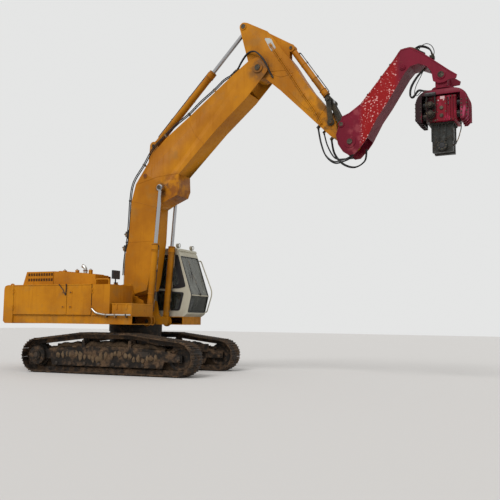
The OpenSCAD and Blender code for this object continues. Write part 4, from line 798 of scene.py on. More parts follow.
FINISHES = {
    "frame_dark": muddy_steel("frame_dark", colour(0.018, 0.015, 0.013), MUD, 0.3),
    "track_steel": muddy_steel("track_steel", colour(0.03, 0.024, 0.02), MUD, 0.45),
    "roller_iron": muddy_steel("roller_iron", colour(0.02, 0.018, 0.016), MUD, 0.3),
    "body_paint": painted("body_paint", GOLD, GOLD_DEEP),
    "counterweight_paint": painted("counterweight_paint", GOLD, GOLD_DEEP, rough=0.48),
    "pipe_steel": bright_steel("pipe_steel", colour(0.52, 0.51, 0.48), 0.32, 0.5),
    "engine_iron": muddy_steel("engine_iron", colour(0.1, 0.1, 0.1), DUST, 0.3),
    "black_plastic": rubber("black_plastic", colour(0.02, 0.02, 0.022), 0.38),
    "cab_paint": painted("cab_paint", colour(0.50, 0.475, 0.38), colour(0.33, 0.30, 0.22), dirt=0.4, wear=0.3,
                         stain_tone=colour(0.24, 0.18, 0.10)),
    "cab_glass": glass("cab_glass", colour(0.025, 0.03, 0.024)),
    "seat_fabric": cloth("seat_fabric", colour(0.025, 0.025, 0.03)),
    "boom_paint": painted("boom_paint", GOLD, GOLD_DEEP, dust_top=2.4, dirt=0.45, changes=(
        greased_joint, stained_round(1.15, 4.45, .42, colour(.16, .045, .010), .65),
        stained_round(.85, 4.4, .26, colour(.07, .035, .012), .7),
        stained_round(3.40, 7.0, .36, colour(.07, .045, .025), .6), stained_round(.44, 5.53, .2, GREASE, .5))),
    "pipe_black": rubber("pipe_black", colour(0.015, 0.014, 0.013), 0.35),
    "rod_chrome": bright_steel("rod_chrome", colour(0.42, 0.42, 0.43), 0.2, 0.4),
    "link_steel": muddy_steel("link_steel", colour(0.026, 0.023, 0.017), colour(0.04, 0.032, 0.019), 0.4, 0.45),
    "neck_paint": painted("neck_paint", CRIMSON, CRIMSON_DEEP, NO_DUST, 0.3, 0.42, 0.35,
                          (speckled, darkened_left_of_hammer), RED_STAIN),
    "case_paint": painted("case_paint", colour(0.24, 0.005, 0.016), CRIMSON_DEEP, NO_DUST, 0.3, 0.38,
                          changes=(darkened_left,), stain_tone=RED_STAIN),
    "isolator_rubber": rubber("isolator_rubber"),
    "motor_iron": muddy_steel("motor_iron", colour(0.022, 0.02, 0.021), GREASE, 0.4, 0.4),
    "clamp_steel": muddy_steel("clamp_steel", colour(0.03, 0.032, 0.03), colour(.01, .01, .009), 0.35, 0.38),
    "packed_mud": muddy_steel("packed_mud", colour(0.03, 0.02, 0.012), colour(0.045, 0.028, 0.016), 0.8, 0.9, 0.0),
    "jaw_steel": bright_steel("jaw_steel", colour(0.3, 0.29, 0.28), 0.35, 0.6),
    "hose_rubber": rubber("hose_rubber"),
    "dried_mud": muddy_steel("dried_mud", colour(0.14, 0.095, 0.055), colour(0.085, 0.053, 0.03), 0.8, 0.9, 0.0),
    "pin_steel": muddy_steel("pin_steel", colour(0.09, 0.075, 0.055), GREASE, 0.35, 0.42, 0.6),
    "dark_steel": muddy_steel("dark_steel", colour(0.022, 0.021, 0.02), DUST, 0.12, 0.45, 0.4),
    "caps_iron": muddy_steel("caps_iron", colour(0.04, 0.032, 0.026), MUD, 0.35, 0.5, 0.4),
    "rusted_iron": muddy_steel("rusted_iron", colour(0.2, 0.07, 0.03), RUST, 0.6, 0.75, 0.2),
    "slat_brown": painted("slat_brown", colour(0.16, 0.06, 0.015), colour(0.06, 0.025, 0.01), dirt=0.3),
    "plain_grey": painted("plain_grey", colour(0.46, 0.47, 0.45), colour(0.3, 0.3, 0.27), NO_DUST,
                          dirt=0.3, wear=0.3),
    "mark_pale": painted("mark_pale", colour(0.62, 0.42, 0.42), colour(0.4, 0.25, 0.25), NO_DUST,
                         dirt=0.2, wear=0.2),
    "mirror_silver": bright_steel("mirror_silver", colour(0.8, 0.8, 0.8), 0.05, 0.1),
    "lamp_glass": bright_steel("lamp_glass", colour(0.75, 0.74, 0.7), 0.18, 0.2),
}


SLOTS = {row["node"]: row["material_slot"] for row in frame["record"]["subparts"]}
BODIES = {node: body for body, nodes in frame["record"]["behaviour"]["bodies"].items() for node in nodes}
# How far each plated or cast piece has its edges rounded
ROUNDINGS = {
    "counterweight": 0.02, "bodywork": 0.003, "pump_cover": 0.014, "engine_hood": 0.014, "side_door_rear": 0.012,
    "side_door_front": 0.012, "side_door_left": 0.012, "fuel_tank": 0.012, "tool_box": 0.008, "house_deck": 0.005,
    "cab_shell": 0.007, "cab_door": 0.006, "boom": 0.007, "stick": 0.006, "gooseneck": 0.007, "head_yoke": 0.008,
    "hammer_frame": 0.01, "exciter_case": 0.008, "clamp_body": 0.008, "side_frames": 0.006, "centre_frame": 0.006,
    "rockers": 0.006, "curl_link": 0.006, "boom_barrels": 0.004, "arm_barrel": 0.004, "curl_barrel": 0.004,
    "sprockets": 0.006, "idlers": 0.006, "side_mirror": 0.012, "drive_motors": 0.004, "console": 0.02}


def rounded_copy(name, width):
    """A merged copy of a node, its flat faces joined again, with its sharp edges rounded, in place of
    the node."""
    mesh = frame["nodes"][name].data.copy()
    shell = bmesh.new()
    shell.from_mesh(mesh)
    bmesh.ops.remove_doubles(shell, verts=shell.verts, dist=1e-4)
    bmesh.ops.dissolve_limit(shell, angle_limit=math.radians(1), verts=shell.verts, edges=shell.edges)
    bmesh.ops.dissolve_degenerate(shell, dist=1.2e-3, edges=shell.edges)
    shell.to_mesh(mesh)
    shell.free()
    mesh.materials.clear()
    mesh.materials.append(FINISHES[SLOTS[name]])
    smoothed(mesh)
    mesh.set_sharp_from_angle(angle=SHARP)
    piece = placed(name + "_plates", mesh)
    edges = piece.modifiers.new("edges", "BEVEL")
    edges.width, edges.segments, edges.limit_method = width, 2, "ANGLE"
    edges.angle_limit, edges.harden_normals = math.radians(32), True
    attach(piece, BODIES[name])
    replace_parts(piece, name)


def dress_nodes():
    """Plated and cast pieces get rounded edges, and every node that stays gets the finish of its slot."""
    for name, node in frame["nodes"].items():
        if name in ROUNDINGS:
            rounded_copy(name, ROUNDINGS[name])
        else:
            node.data.materials.clear()
            node.data.materials.append(FINISHES[SLOTS[name]])


# Pins: a cap with screws on each end, set on the face where the solid's pin ends

# body, slot, finish, pin's place (x, z), distance of its end from the middle plane, radius, screws
PIN_ENDS = [
    ("house", "body_paint", "pin_steel", (-0.05, 1.97), 0.328, 0.074, 6),
    ("house", "body_paint", "pin_steel", (0.62, 1.21), 0.466, 0.05, 4),
    ("boom_rods", "rod_chrome", "pin_steel", (0.85, 4.4), 0.446, 0.05, 4),
    ("stick", "boom_paint", "pin_steel", (3.35, 7.04), 0.304, 0.068, 6),
    ("boom", "boom_paint", "rusted_iron", (0.34, 4.75), 0.28, 0.05, 5),
    ("boom", "boom_paint", "pin_steel", (0.44, 5.53), 0.113, 0.036, 3),
    ("stick", "boom_paint", "pin_steel", (2.93, 8.12), 0.218, 0.056, 4),
    ("stick", "boom_paint", "pin_steel", (4.09, 7.46), 0.098, 0.036, 3),
    ("stick", "link_steel", "pin_steel", (5.095, 5.57), 0.26, 0.037, 3),
    ("rockers", "link_steel", "pin_steel", (5.03, 6.1), 0.246, 0.036, 3),
    ("gooseneck", "neck_paint", "pin_steel", (5.34, 5.49), 0.259, 0.045, 4),
    ("stick", "link_steel", "pin_steel", (5.53, 5.09), 0.265, 0.06, 5),
    ("gooseneck", "neck_paint", "neck_paint", (6.68, 6.57), 0.267, 0.05, 6),
    ("gooseneck", "neck_paint", "pin_steel", (7.46, 6.29), 0.263, 0.066, 6)]


def make_pin_ends():
    """Each end: a chamfered disc with a dished middle, a ring of screws and a grease nipple."""
    rise = np.array([-.002, .006, .010, .010, .007, .007])
    for number, (body, slot, finish, place, reach, radius, screws) in enumerate(PIN_ENDS, 1):
        form = Form()
        for side in (RIGHT, LEFT):
            centre, out = in_plane(place, side * reach), (0, side, 0)
            disc = np.column_stack([rise, radius * np.array([1, 1, .93, .5, .46, .2])])
            spun(form, disc, centre, out, 28)
            spun(form, [(.006, .006), (.016, .006), (.018, .004)], centre, out, 8)
            ring = round_y(screws, radius * 0.74, 0.4)
            bolts(form, centre + ring + (0, side * .010, 0), out, radius * .115, radius * .1)
        form.make("pin_ends_%02d" % number, body, slot, finish)


# Cylinders: collars, gland screws and the steel line along each barrel

def cylinder_fittings(name, body, base, pin, planes, radius, rod_radius, length, start, side):
    """The line leaves a block at the gland, runs beside the barrel through two bands and enters a block
    at its foot."""
    base = np.array(base)
    ahead = unit(np.array(pin) - base)
    out = side * np.array([-ahead[1], ahead[0]])
    axis, square = upright(ahead), upright(out)
    bands, steel, black = Form(), Form(), Form()
    # Distance along, rise above the barrel and width of each ring on it
    collars = [(bands, start + (length - start) * share - .015, .006, .03)
               for share in (0.3, 0.62, 0.9)]
    collars += [(bands, length - .022, .017, .021), (black, length - .03, .012, .008),
                (bands, length - .15, .012, .12), (black, length - .158, .009, .008),
                (bands, length - .178, .016, .02)]
    ends = length - .055, start + .11
    for y in planes:
        def at(along, away):
            return in_plane(base + ahead * along + out * away, y)
        turned_ring(black, at(length - .004, 0), axis, rod_radius + .001, rod_radius + .014, .014)
        for form, along, rise, width in collars:
            turned_ring(form, at(along, 0), axis, radius - .004, radius + rise, width)
        rim = circle(10) @ np.array([square, np.cross(axis, square)]) * radius * .84
        bolts(steel, at(length, 0) + rim, axis, .009, .01)
        tube(steel, bent([at(ends[0], radius), at(ends[0], radius + .03), at(ends[1], radius + .03),
                          at(ends[1], radius - .01)], .03), .010, 10)
        for along in ends:
            spun(steel, [(-.01, .02), (.012, .02), (.016, .014), (.024, .014)], at(along, radius),
                 square, 12)
        for share in (0.3, 0.62):
            place = at(start + (length - start) * share, radius + .03)
            spun(black, [(-.018, .017), (.018, .017)], place, axis, 8)
    bands.make(name + "_bands", body, "boom_paint")
    steel.make(name + "_line", body, "boom_paint", "dark_steel")
    black.make(name + "_seals", body, "boom_paint", "hose_rubber")


def make_cylinder_fittings():
    cylinder_fittings("boom_cylinder", "boom_barrels", (.62, 1.21), (.85, 4.4), (-.368, .368), .076, .044,
                      1.8483, .139, -1)
    cylinder_fittings("arm_cylinder", "arm_barrel", (.44, 5.53), (2.93, 8.12), (0,), .084, .048, 2.3128, .119, 1)
    cylinder_fittings("curl_cylinder", "curl_barrel", (4.09, 7.46), (5.03, 6.1), (0,), .068, .04, 1.4782, .104, 1)


# Pipes on the boom's back and on the stick's sides

BOOM_BACK = np.array([(-.18, 2.83), (-.10, 3.13), (-.04, 4.15), (.07, 4.56), (.60, 5.34), (.92, 5.64), (1.57, 6.10),
                      (2.71, 6.96)])


def off_outline(line, away):
    """A line's points moved square to it, to its left."""
    ahead = unit(np.vstack([line[1:2] - line[:1], line[2:] - line[:-2], line[-1:] - line[-2:-1]]))
    return line + away * np.column_stack([-ahead[:, 1], ahead[:, 0]])


def block_on(form, place, ahead, out, size, lift=0.0):
    """A rounded block: its length runs ahead, its height outwards from the place, its width along Y."""
    length, width, height = size
    block = rounded_bar(Form(), (-length / 2, -width / 2, lift), (length / 2, width / 2, lift + height),
                        height * .15)
    return form.repeat(block, [place], np.array([upright(ahead), Y, upright(out)]))


# Blocks that stand on a face keep this far off it
SEAT_GAP = .0005


def clamp_pair(clamps, screws, place, y, size, screw):
    """A block and its screw on each side, standing on an outline at a spot of it."""
    p, ahead, out = place
    for side in (RIGHT, LEFT):
        block_on(clamps, in_plane(p, side * y), ahead, out, size, SEAT_GAP)
        bolts(screws, in_plane(p + out * (size[2] + SEAT_GAP), side * y), upright(out), *screw)


def make_boom_pipes():
    """Round pipes through clamps, with valve blocks and couplings, in place of the squared ones."""
    pipes, clamps, steel = Form(), Form(), Form()
    line = off_outline(BOOM_BACK, .026)
    for y in (-.178, -.14, .14, .178):
        tube(pipes, bent(in_plane(line, y), .08), .0125)
    for at in (.5, 1.25, 1.75, 2.5, 3.5, 4.5, 5.25, 5.75, 6.25, 6.75):
        clamp_pair(clamps, steel, spot(BOOM_BACK, at), .159, (.044, .082, .045), (.009,))
    for at in (.45, 1.2):
        p, ahead, out = spot(BOOM_BACK, at)
        block_on(clamps, in_plane(p, -.155), ahead, out, (.14, .09, .168), SEAT_GAP)
        for rise, way in ((.05, -1), (.12, -1), (.05, 1), (.12, 1)):
            spun(steel, [(0, .021), (.014, .021), (.018, .014), (.04, .013)],
                 in_plane(p + out * rise + ahead * way * .069, -.155), upright(ahead * way), 10)
        top = p + out * .168
        bolts(steel, in_plane([top + ahead * .05, top - ahead * .05], -.155), upright(out), .011, .01)
        spun(steel, [(-.002, .026), (.03, .026), (.036, .016), (.05, .016)], in_plane(top, -.155),
             upright(out), 14)
    tip = BOOM_BACK[-1]
    _, ahead, out = spot(BOOM_BACK, len(BOOM_BACK) - 2)
    block_on(clamps, in_plane(tip - ahead * .025, -.15), ahead, out, (.11, .064, .109), SEAT_GAP)
    block_on(clamps, in_plane(tip + ahead * .073, -.15), ahead, out, (.1, .064, .044), .066)
    spun(steel, [(0, .024), (.02, .024), (.026, .018), (.032, .018)],
         in_plane(tip + ahead * .122 + out * .088, -.15), upright(ahead), 12)
    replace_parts(pipes.make("boom_pipe_lines", "boom", "pipe_black"), "boom_pipes")
    clamps.make("boom_pipe_clamps", "boom", "pipe_black", "dark_steel")
    steel.make("boom_pipe_fittings", "boom", "pipe_black", "pin_steel")


BACK_HOSES = np.array([
    (-.235, 2.32), (-.20, 2.7), (-.155, 3.13), (-.10, 3.65), (-.095, 4.16), (.0, 4.6), (.28, 5.03),
    (.545, 5.40), (.88, 5.705), (1.21, 5.94), (1.53, 6.16), (1.86, 6.405), (2.21, 6.665),
    (2.47, 6.85), (2.64, 6.94)])


def make_back_hoses():
    """Hoses clipped along the boom's back near both edges: each wavers a little between its clips."""
    hoses, clips = Form(), Form()
    for side in (RIGHT, LEFT):
        for y, away in ((.205, .008), (.243, .022)):
            line = off_outline(BACK_HOSES, away)
            line = off_outline(line, np.where(np.arange(len(line)) % 2, .016, 0)[:, None])
            tube(hoses, curve_through(in_plane(line, side * y), 6), .0135, 10)
        for n in range(2, len(BACK_HOSES) - 1, 2):
            ahead = unit(BACK_HOSES[n + 1] - BACK_HOSES[n - 1])
            out = np.array([-ahead[1], ahead[0]])
            block_on(clips, in_plane(BACK_HOSES[n] - out * .062, side * .224), ahead, out,
                     (.036, .088, .1))
    hoses.make("back_hoses", "boom", "pipe_black", "hose_rubber")
    clips.make("back_hose_clips", "boom", "pipe_black", "dark_steel")


STICK_LINE = np.array([(3.66, 7.62), (3.89, 7.27), (4.17, 6.83), (4.46, 6.36), (4.77, 5.90), (4.93, 5.58)])


def make_stick_pipes():
    """Two pipes low on each side of the stick, held by clamps, and a blank plate on its lever."""
    pipes, clamps, steel = Form(), Form(), Form()
    for side in (RIGHT, LEFT):
        for away in (-.04, -.075):
            flat = off_outline(STICK_LINE, away)
            first, last = in_plane(flat[[0, -1]], side * .2)
            path = np.vstack([first, in_plane(flat, side * .225), last])
            tube(pipes, bent(path, .06), .011, 10)
        for at in (.15, 1.1, 2.1, 3.1, 4.2):
            p, ahead, out = spot(STICK_LINE, at)
            p = p - out * .0575
            block = rounded_bar(Form(), (-.016, -.036, 0), (.016, .036, .036), .006)
            clamps.repeat(block, [in_plane(p, side * .2)],
                          np.array([upright(ahead), upright(out), (0, side, 0)]))
            bolts(steel, in_plane(p, side * .236), (0, side, 0), .007)
    plate_form = Form()
    outline = rounded_outline([(3.47, 7.75), (3.64, 7.72), (3.77, 7.46), (3.66, 7.39)], .03)
    middle = outline.mean(0)
    plate(plate_form, outline - middle, .004, in_plane(middle, -.2005), X, Z)
    screws = [(3.49, 7.735), (3.625, 7.71), (3.745, 7.465), (3.665, 7.41)]
    bolts(steel, in_plane(screws, -.2045), (0, -1, 0), .006, .004)
    pipes.make("stick_pipes", "stick", "boom_paint")
    clamps.make("stick_pipe_clamps", "stick", "boom_paint")
    steel.make("stick_screws", "stick", "pipe_black", "pin_steel")
    plate_form.make("bare_plate", "stick", "pipe_steel", "plain_grey")


# Welds: a thin bead carried along a line on both faces of a box

def weld_lines(name, body, slot, y, lines, radius=.006):
    form = Form()
    for side in (RIGHT, LEFT):
        for line in lines:
            tube(form, in_plane(line, side * y), radius, 8)
    form.make(name, body, slot)


def make_welds():
    weld_lines("boom_welds", "boom", "boom_paint", .2695, [
        [(-.035, 4.14), (.2, 4.09), (.45, 4.02), (.67, 3.96)], [(-.09, 3.13), (.28, 3.13), (.645, 3.14)],
        [(.10, 4.56), (.7, 4.7), (1.27, 4.74)], [(1.5, 6.03), (1.75, 5.6), (1.98, 5.39)]])
    weld_lines("stick_welds", "stick", "boom_paint", .1995, [
        curve_through([(3.455, 7.15), (3.60, 6.93), (3.875, 6.775), (4.10, 6.795), (4.19, 6.825)], 6),
        [(4.97, 5.92), (4.83, 5.75), (4.75, 5.61)]], .009)


# Covers and doors of the house

DOOR_FACE = 1.38


def make_door_fittings():
    """Ledges along the doors' tops and feet, latches with handles, a strap, and seals in the gaps."""
    shape = rectangle(.05, .035, .018)
    for body, side, back, front, latch in (("side_door_rear", RIGHT, -2.655, -1.025, -1.12),
                                           ("side_door_front", RIGHT, -1.007, -.305, -.9),
                                           ("side_door_left", LEFT, -2.655, -.915, -1.02)):
        ledge, latches = Form(), Form()
        low, high = sorted((side * (DOOR_FACE - .002), side * (DOOR_FACE + .012)))
        rounded_bar(ledge, (back, low, 2.03) + AXIS, (front, high, 2.049) + AXIS, .006, 0)
        rounded_bar(ledge, (back, low, 1.336) + AXIS, (front, high, 1.352) + AXIS, .005, 0)
        for z in (1.52, 1.86):
            across, place = (-side, 0, 0), from_axis([latch, side * (DOOR_FACE - .001), z])
            plate(ledge, shape, .007, place, across, Z)
            plate(latches, shape * (.5, .4), .006, place + (0, side * .007, 0), across, Z)
            spun(ledge, [(0, .011), (.005, .011), (.007, .008)],
                 place + (-side * .035, side * .007, 0), (0, side, 0), 12)
        ledge.make(body + "_ledges", body, "body_paint")
        latches.make(body + "_latches", body, "body_paint", "slat_brown")
    strap = Form()
    hang = in_plane([(-1.244, 2.04), (-1.13, 1.93), (-1.045, 1.78), (-1.036, 1.92), (-1.036, 2.04)],
                    -(DOOR_FACE + .009))
    tube(strap, bent(hang, .03), .010, 8)
    bolts(strap, hang[[0, -1]], (0, -1, 0), .014)
    strap.make("door_strap", "side_door_rear", "body_paint", "hose_rubber")
    seals = Form()
    for side, places in ((RIGHT, (-2.664, -1.0165, -.296)), (LEFT, (-2.664, -.905))):
        for x in places:
            low, high = sorted((side * 1.35, side * 1.366))
            rounded_bar(seals, (x - .0045, low, 1.35) + AXIS, (x + .0045, high, 2.03) + AXIS, .003)
    seals.make("door_gap_seals", "house", "black_plastic")


def grille_bars(form, x0, x1, y, z0, z1, count, side):
    """Tilted slats: thin rounded bars along X, one under the other, leaning outwards at their lower
    edges."""
    slat = Form()
    rounded_bar(slat, (x0, -.012, -.0025), (x1, .012, .0025), .002, 0)
    lean = math.radians(35)
    c, s = math.cos(lean), side * math.sin(lean)
    axes = np.array([X, (0, c, -s), (0, s, c)])
    places = [from_axis([0, y, z]) for z in np.linspace(z0, z1, count)]
    return form.repeat(slat, places, axes)


def make_hood_fittings():
    """Louvre slats behind the hood's slots, a dark screen inside, a raised grille on its top, and
    handles; then the covers' handles and screws, and the stack's bands."""
    slats, screen, top, steel = Form(), Form(), Form(), Form()
    for i in range(10):
        x = -2.62 + i * .0804
        for row in (0, 1):
            grille_bars(slats, x + .001, x + .059, -.944, 2.172 + row * .13, 2.218 + row * .13, 3, RIGHT)
    rounded_bar(screen, (-2.66, -.935, 2.13) + AXIS, (-1.83, -.925, 2.385) + AXIS, .004, 0)
    rounded_bar(top, (-2.60, -.62, 2.3985) + AXIS, (-1.92, .62, 2.413) + AXIS, .006, 0)
    bar = Form()
    rounded_bar(bar, (-.6, -.0035, 0), (.6, .0035, .012), .0015, 0)
    places = [from_axis([x, 0, 2.4125]) for x in np.linspace(-2.565, -1.955, 26)]
    screen_top = Form().repeat(bar, places, np.array([[0, 1, 0], [-1, 0, 0], [0, 0, 1]]))
    for y in (-.55, .55):
        handle = from_axis([(-2.72, y - .08, 2.3), (-2.765, y - .08, 2.33), (-2.765, y + .08, 2.33),
                            (-2.72, y + .08, 2.3)])
        tube(steel, bent(handle, .02), .008, 8)
    heads = from_axis([(x, y, 2.4005) for x in (-2.64, -1.88) for y in np.linspace(-.8, .8, 7)])
    bolts(steel, heads, Z, .009, .006)
    slats.make("hood_slats", "engine_hood", "body_paint", "slat_brown")
    screen.make("hood_screen", "engine_hood", "body_paint", "black_plastic")
    top.make("hood_top_frame", "engine_hood", "body_paint")
    screen_top.make("hood_top_bars", "engine_hood", "body_paint", "dark_steel")
    steel.make("hood_screws", "engine_hood", "body_paint", "dark_steel")
    covers = Form()
    for x in (-1.544, -1.164, -.76):
        loop = in_plane([(x + .015, 2.417), (x + .015, 2.44), (x + .055, 2.44), (x + .055, 2.417)], -.9)
        tube(covers, bent(loop, .012), .006, 8)
        bolts(covers, in_plane([(x + .035, 2.37), (x + .035, 2.33)], -.933), (0, -1, 0), .008, .006)
    heads = from_axis([(x, y, 2.052) for x in (-1.77, -1.2, -.6) for y in (-1.0, -.985)])
    bolts(covers, heads, Z, .008, .006)
    covers.make("cover_handles", "house", "body_paint", "dark_steel")
    stack = Form()
    for z in (2.415, 2.43):
        turned_ring(stack, from_axis([-1.12, -.6, z]), (0, 0, 1), .048, .062 if z < 2.42 else .054, .012)
    a = math.radians(75)
    end = from_axis([-1.225 + .105 * math.cos(a), -.6, 2.44 + .105 * math.sin(a)])
    turned_ring(stack, end, (-math.sin(a), 0, math.cos(a)), .038, .047, .012)
    stack.make("stack_bands", "house", "pipe_steel", "rusted_iron")


def stud_field(form, x0, x1, y0, y1, z, step=.06):
    """Tread: low studs in staggered rows, each a small spun button."""
    stud = spun(Form(), [(-.001, .011), (.003, .0105), (.0045, .007)], (0, 0, 0), (0, 0, 1), 8)
    xs, ys = np.meshgrid(np.arange(x0, x1, step), np.arange(y0, y1, step * .87), indexing="ij")
    xs = xs + (np.arange(xs.shape[1]) % 2) * step / 2
    keep = xs < x1
    places = from_axis(np.column_stack([xs[keep], ys[keep], np.full(keep.sum(), z)]))
    return form.repeat(stud, places, np.eye(3))


def make_deck_fittings():
    """Tread on the boxes' tops, round rails over the squared ones, the filler's cap, screws and lamps
    on the counterweight, lamps on the cab, and the mirror."""
    tread = Form()
    stud_field(tread, -.22, .18, -1.26, -.72, 2.0405)
    stud_field(tread, .30, .78, -1.30, -.52, 1.6045)
    stud_field(tread, -1.46, -.34, 1.0, 1.3, 2.0505)
    tread.make("tread_studs", "house", "body_paint", "dark_steel")
    rails, feet, steel = Form(), Form(), Form()
    y = -1.41
    rail = in_plane([(-.25, 1.482), (-.14, 1.382), (.12, 1.342), (.81, 1.342)], y)
    tube(rails, bent(rail, .09), .0215, 16)
    for x in (.15, .4, .7):
        rounded_bar(feet, (x - .015, y - .009, 1.28) + AXIS, (x + .015, y + .009, 1.345) + AXIS, .004)
        rounded_bar(feet, (x - .015, y - .009, 1.282) + AXIS, (x + .015, y + .0597, 1.31) + AXIS, .004, 1)
        turned_ring(feet, from_axis([x - .014, y, 1.342]), (1, 0, 0), .020, .027, .028, 16)
        bolts(steel, from_axis([(x, y - .009, 1.296)]), (0, -1, 0), .008, .007)
    for end, way in ((rail[0], (-.743, 0, .669)), (rail[-1], X)):
        spun(rails, [(-.004, .022), (.002, .0215), (.006, .012)], end, way, 16)
    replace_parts(rails.make("side_rail_tube", "house", "pipe_steel"), "side_rail")
    feet.make("side_rail_feet", "house", "pipe_steel", "dark_steel")
    grab = Form()
    z = 2.04
    loop = in_plane([(-.218, z), (-.218, z + .12), (.16, z + .12), (.16, z)], -1.34)
    tube(grab, bent(loop, .04), .0155)
    for x in (-.218, .16):
        spun(grab, [(-.001, .032), (.005, .032), (.007, .018)], from_axis([x, -1.34, z]), (0, 0, 1), 16)
    grab.make("tank_rail", "house", "body_paint")
    spun(steel, [(0, .05), (.012, .052), (.02, .046), (.022, .03)], from_axis([-.148, -.664, 2.101]), (0, 0, 1), 24)
    turned_ring(steel, from_axis([-.148, -.664, 2.04]), (0, 0, 1), .058, .068, .01)
    # Screws and two lamps on the counterweight's back, two lamps on the cab
    for a in np.radians([-22, -16, 16, 22]):
        out = np.array([-math.cos(a), math.sin(a), 0])
        bolts(steel, AXIS + out * 3.278 + (0, 0, 1.24), out, .03, .02)
    lamp_glass, lamp_rim = Form(), Form()
    for a in np.radians([-19, 19]):
        out = np.array([-math.cos(a), math.sin(a), 0])
        place = AXIS + out * 3.277 + (0, 0, 1.86)
        turned_ring(lamp_rim, place, out, .044, .056, .022)
        spun(lamp_glass, [(.002, .045), (.012, .044), (.018, .03), (.02, .01)], place, out, 20)
    for y in (.595, 1.26):
        turned_ring(lamp_rim, from_axis([.826, y, 3.1]), (1, 0, 0), .05, .058, .012)
        spun(lamp_glass, [(.0, .05), (.006, .048), (.012, .03), (.014, .01)], from_axis([.83, y, 3.1]), (1, 0, 0), 20)
    lamp_glass.make("lamp_glasses", "house", "cab_glass", "lamp_glass")
    lamp_rim.make("lamp_rims", "house", "black_plastic")
    steel.make("deck_screws", "house", "body_paint", "dark_steel")
    mirror, arm = Form(), Form()
    plate(mirror, rectangle(.115, .09, .03), .003, from_axis([.0595, -.99, 2.28]), (0, -1, 0), Z)
    tube(arm, bent(from_axis([(.085, -1.0, 2.18), (.085, -1.0, 2.06), (.085, -.93, 2.045)]), .03), .0165, 10)
    spun(arm, [(-.002, .03), (.008, .03), (.01, .016)], from_axis([.085, -1.0, 2.041]), (0, 0, 1), 14)
    mirror.make("mirror_glass", "house", "black_plastic", "mirror_silver")
    arm.make("mirror_arm", "house", "black_plastic", "dark_steel")


# Cab

CAB_RIGHT, CAB_LEFT = .475, 1.38


def cab_front(z):
    """The front face leans out up to the belt and back above it."""
    return np.interp(z, [1.40, 1.86, 2.91], [1.16, 1.262, .90])


def make_cab_fittings():
    """Seals are beads carried round the openings; the windscreen's follows the front's lean. The side
    windows sit in black borders: each a ring between the opening and a larger outline."""
    seals, trim, wiper = Form(), Form(), Form()
    for outline, border in (
            ([(-.45, 2.06), (.76, 2.06), (.93, 2.12), (.72, 2.83), (-.45, 2.83)],
             [(-.50, 2.02), (.90, 2.02), (1.115, 2.06), (.875, 2.865), (-.50, 2.865)]),
            ([(.30, 1.50), (.90, 1.50), (1.01, 1.90), (.30, 1.96)],
             [(.275, 1.475), (.955, 1.475), (1.07, 1.925), (.275, 1.985)])):
        inner, outer = rounded_outline(outline, .05, 5), rounded_outline(border, .06, 5)
        tube(seals, in_plane(inner, CAB_RIGHT + .002), .011, 8, True)
        middle = inner.mean(0)
        lap = inner + unit(middle - inner) * .004
        levels = [(outer, .002), (outer, -.004), (lap, -.004), (lap, .002)]
        seals.grid(np.stack([in_plane(flat, CAB_RIGHT + away) for flat, away in levels]), wrap_rows=True)
    s = rounded_outline([(.51, 1.445), (1.345, 1.445), (1.345, 2.825), (.51, 2.825)], .06, 6)
    front = np.column_stack([cab_front(s[:, 1]) + .002, s[:, 0], s[:, 1]])
    order = []
    for a, b in zip(front, np.roll(front, -1, 0)):
        order.append(a)
        if (a[2] - 1.86) * (b[2] - 1.86) < 0:
            order.append(np.array([1.264, a[1] + (b[1] - a[1]) * .5, 1.86]))
    tube(seals, from_axis(order), .011, 8, True)
    rounded_bar(trim, (1.235, .505, 1.846) + AXIS, (1.268, 1.35, 1.876) + AXIS, .006, 1)
    lean = unit(np.array([.90 - 1.262, 0, 2.91 - 1.86]))
    face = np.array([lean[2], 0, -lean[0]])
    foot = from_axis([1.262, .93, 1.885]) + face * .016
    tip = foot + lean * .62 + (0, -.16, 0)
    tube(wiper, [foot, (foot + tip) / 2 + face * .012, tip], .006, 6)
    blade = unit(lean + (0, .12, 0))
    tube(wiper, [tip - blade * .28, tip + blade * .28], .007, 6)
    spun(wiper, [(-.014, .026), (.012, .026), (.018, .016)], foot, face, 14)
    seals.make("window_seals", "house", "black_plastic")
    trim.make("windscreen_bar", "house", "cab_paint")
    wiper.make("wiper", "house", "black_plastic", "dark_steel")
    door, handle = Form(), Form()
    for outline in ([(-.05, 2.01), (.88, 2.01), (.66, 2.80), (-.05, 2.80)],
                    [(-.05, 1.49), (.77, 1.49), (.90, 1.81), (-.05, 1.81)]):
        tube(door, in_plane(rounded_outline(outline, .05, 5), CAB_LEFT), .010, 8, True)
    place = from_axis([.02, CAB_LEFT - .001, 1.91])
    plate(handle, rectangle(.07, .03, .02), .008, place, (-1, 0, 0), Z)
    grip = place + [(-.05, .004, 0), (-.05, .04, 0), (.05, .04, 0), (.05, .004, 0)]
    tube(handle, bent(grip, .015), .007, 8)
    door.make("door_seals", "cab_door", "black_plastic")
    handle.make("door_handle", "cab_door", "black_plastic")
    near, y = CAB_LEFT - .02, CAB_LEFT + .04
    rail = from_axis([(1.14, near, 1.45), (1.19, y, 1.45), (1.325, y, 1.88), (1.325, y, 2.0),
                      (.99, y, 2.78), (.935, near, 2.76)])
    tube(Form(), bent(rail, .06), .0155).make("cab_rail", "house", "cab_paint")
    levers = Form()
    for y in (.6075, 1.2475):
        spun(levers, [(0, .04), (.03, .036), (.06, .022), (.09, .02)], from_axis([.28, y, 1.91]), Z, 14)
        spun(levers, [(0, .02), (.02, .032), (.06, .034), (.09, .02), (.1, .008)],
             from_axis([.28, y, 2.07]), Z, 14)
    levers.make("lever_boots", "house", "black_plastic")


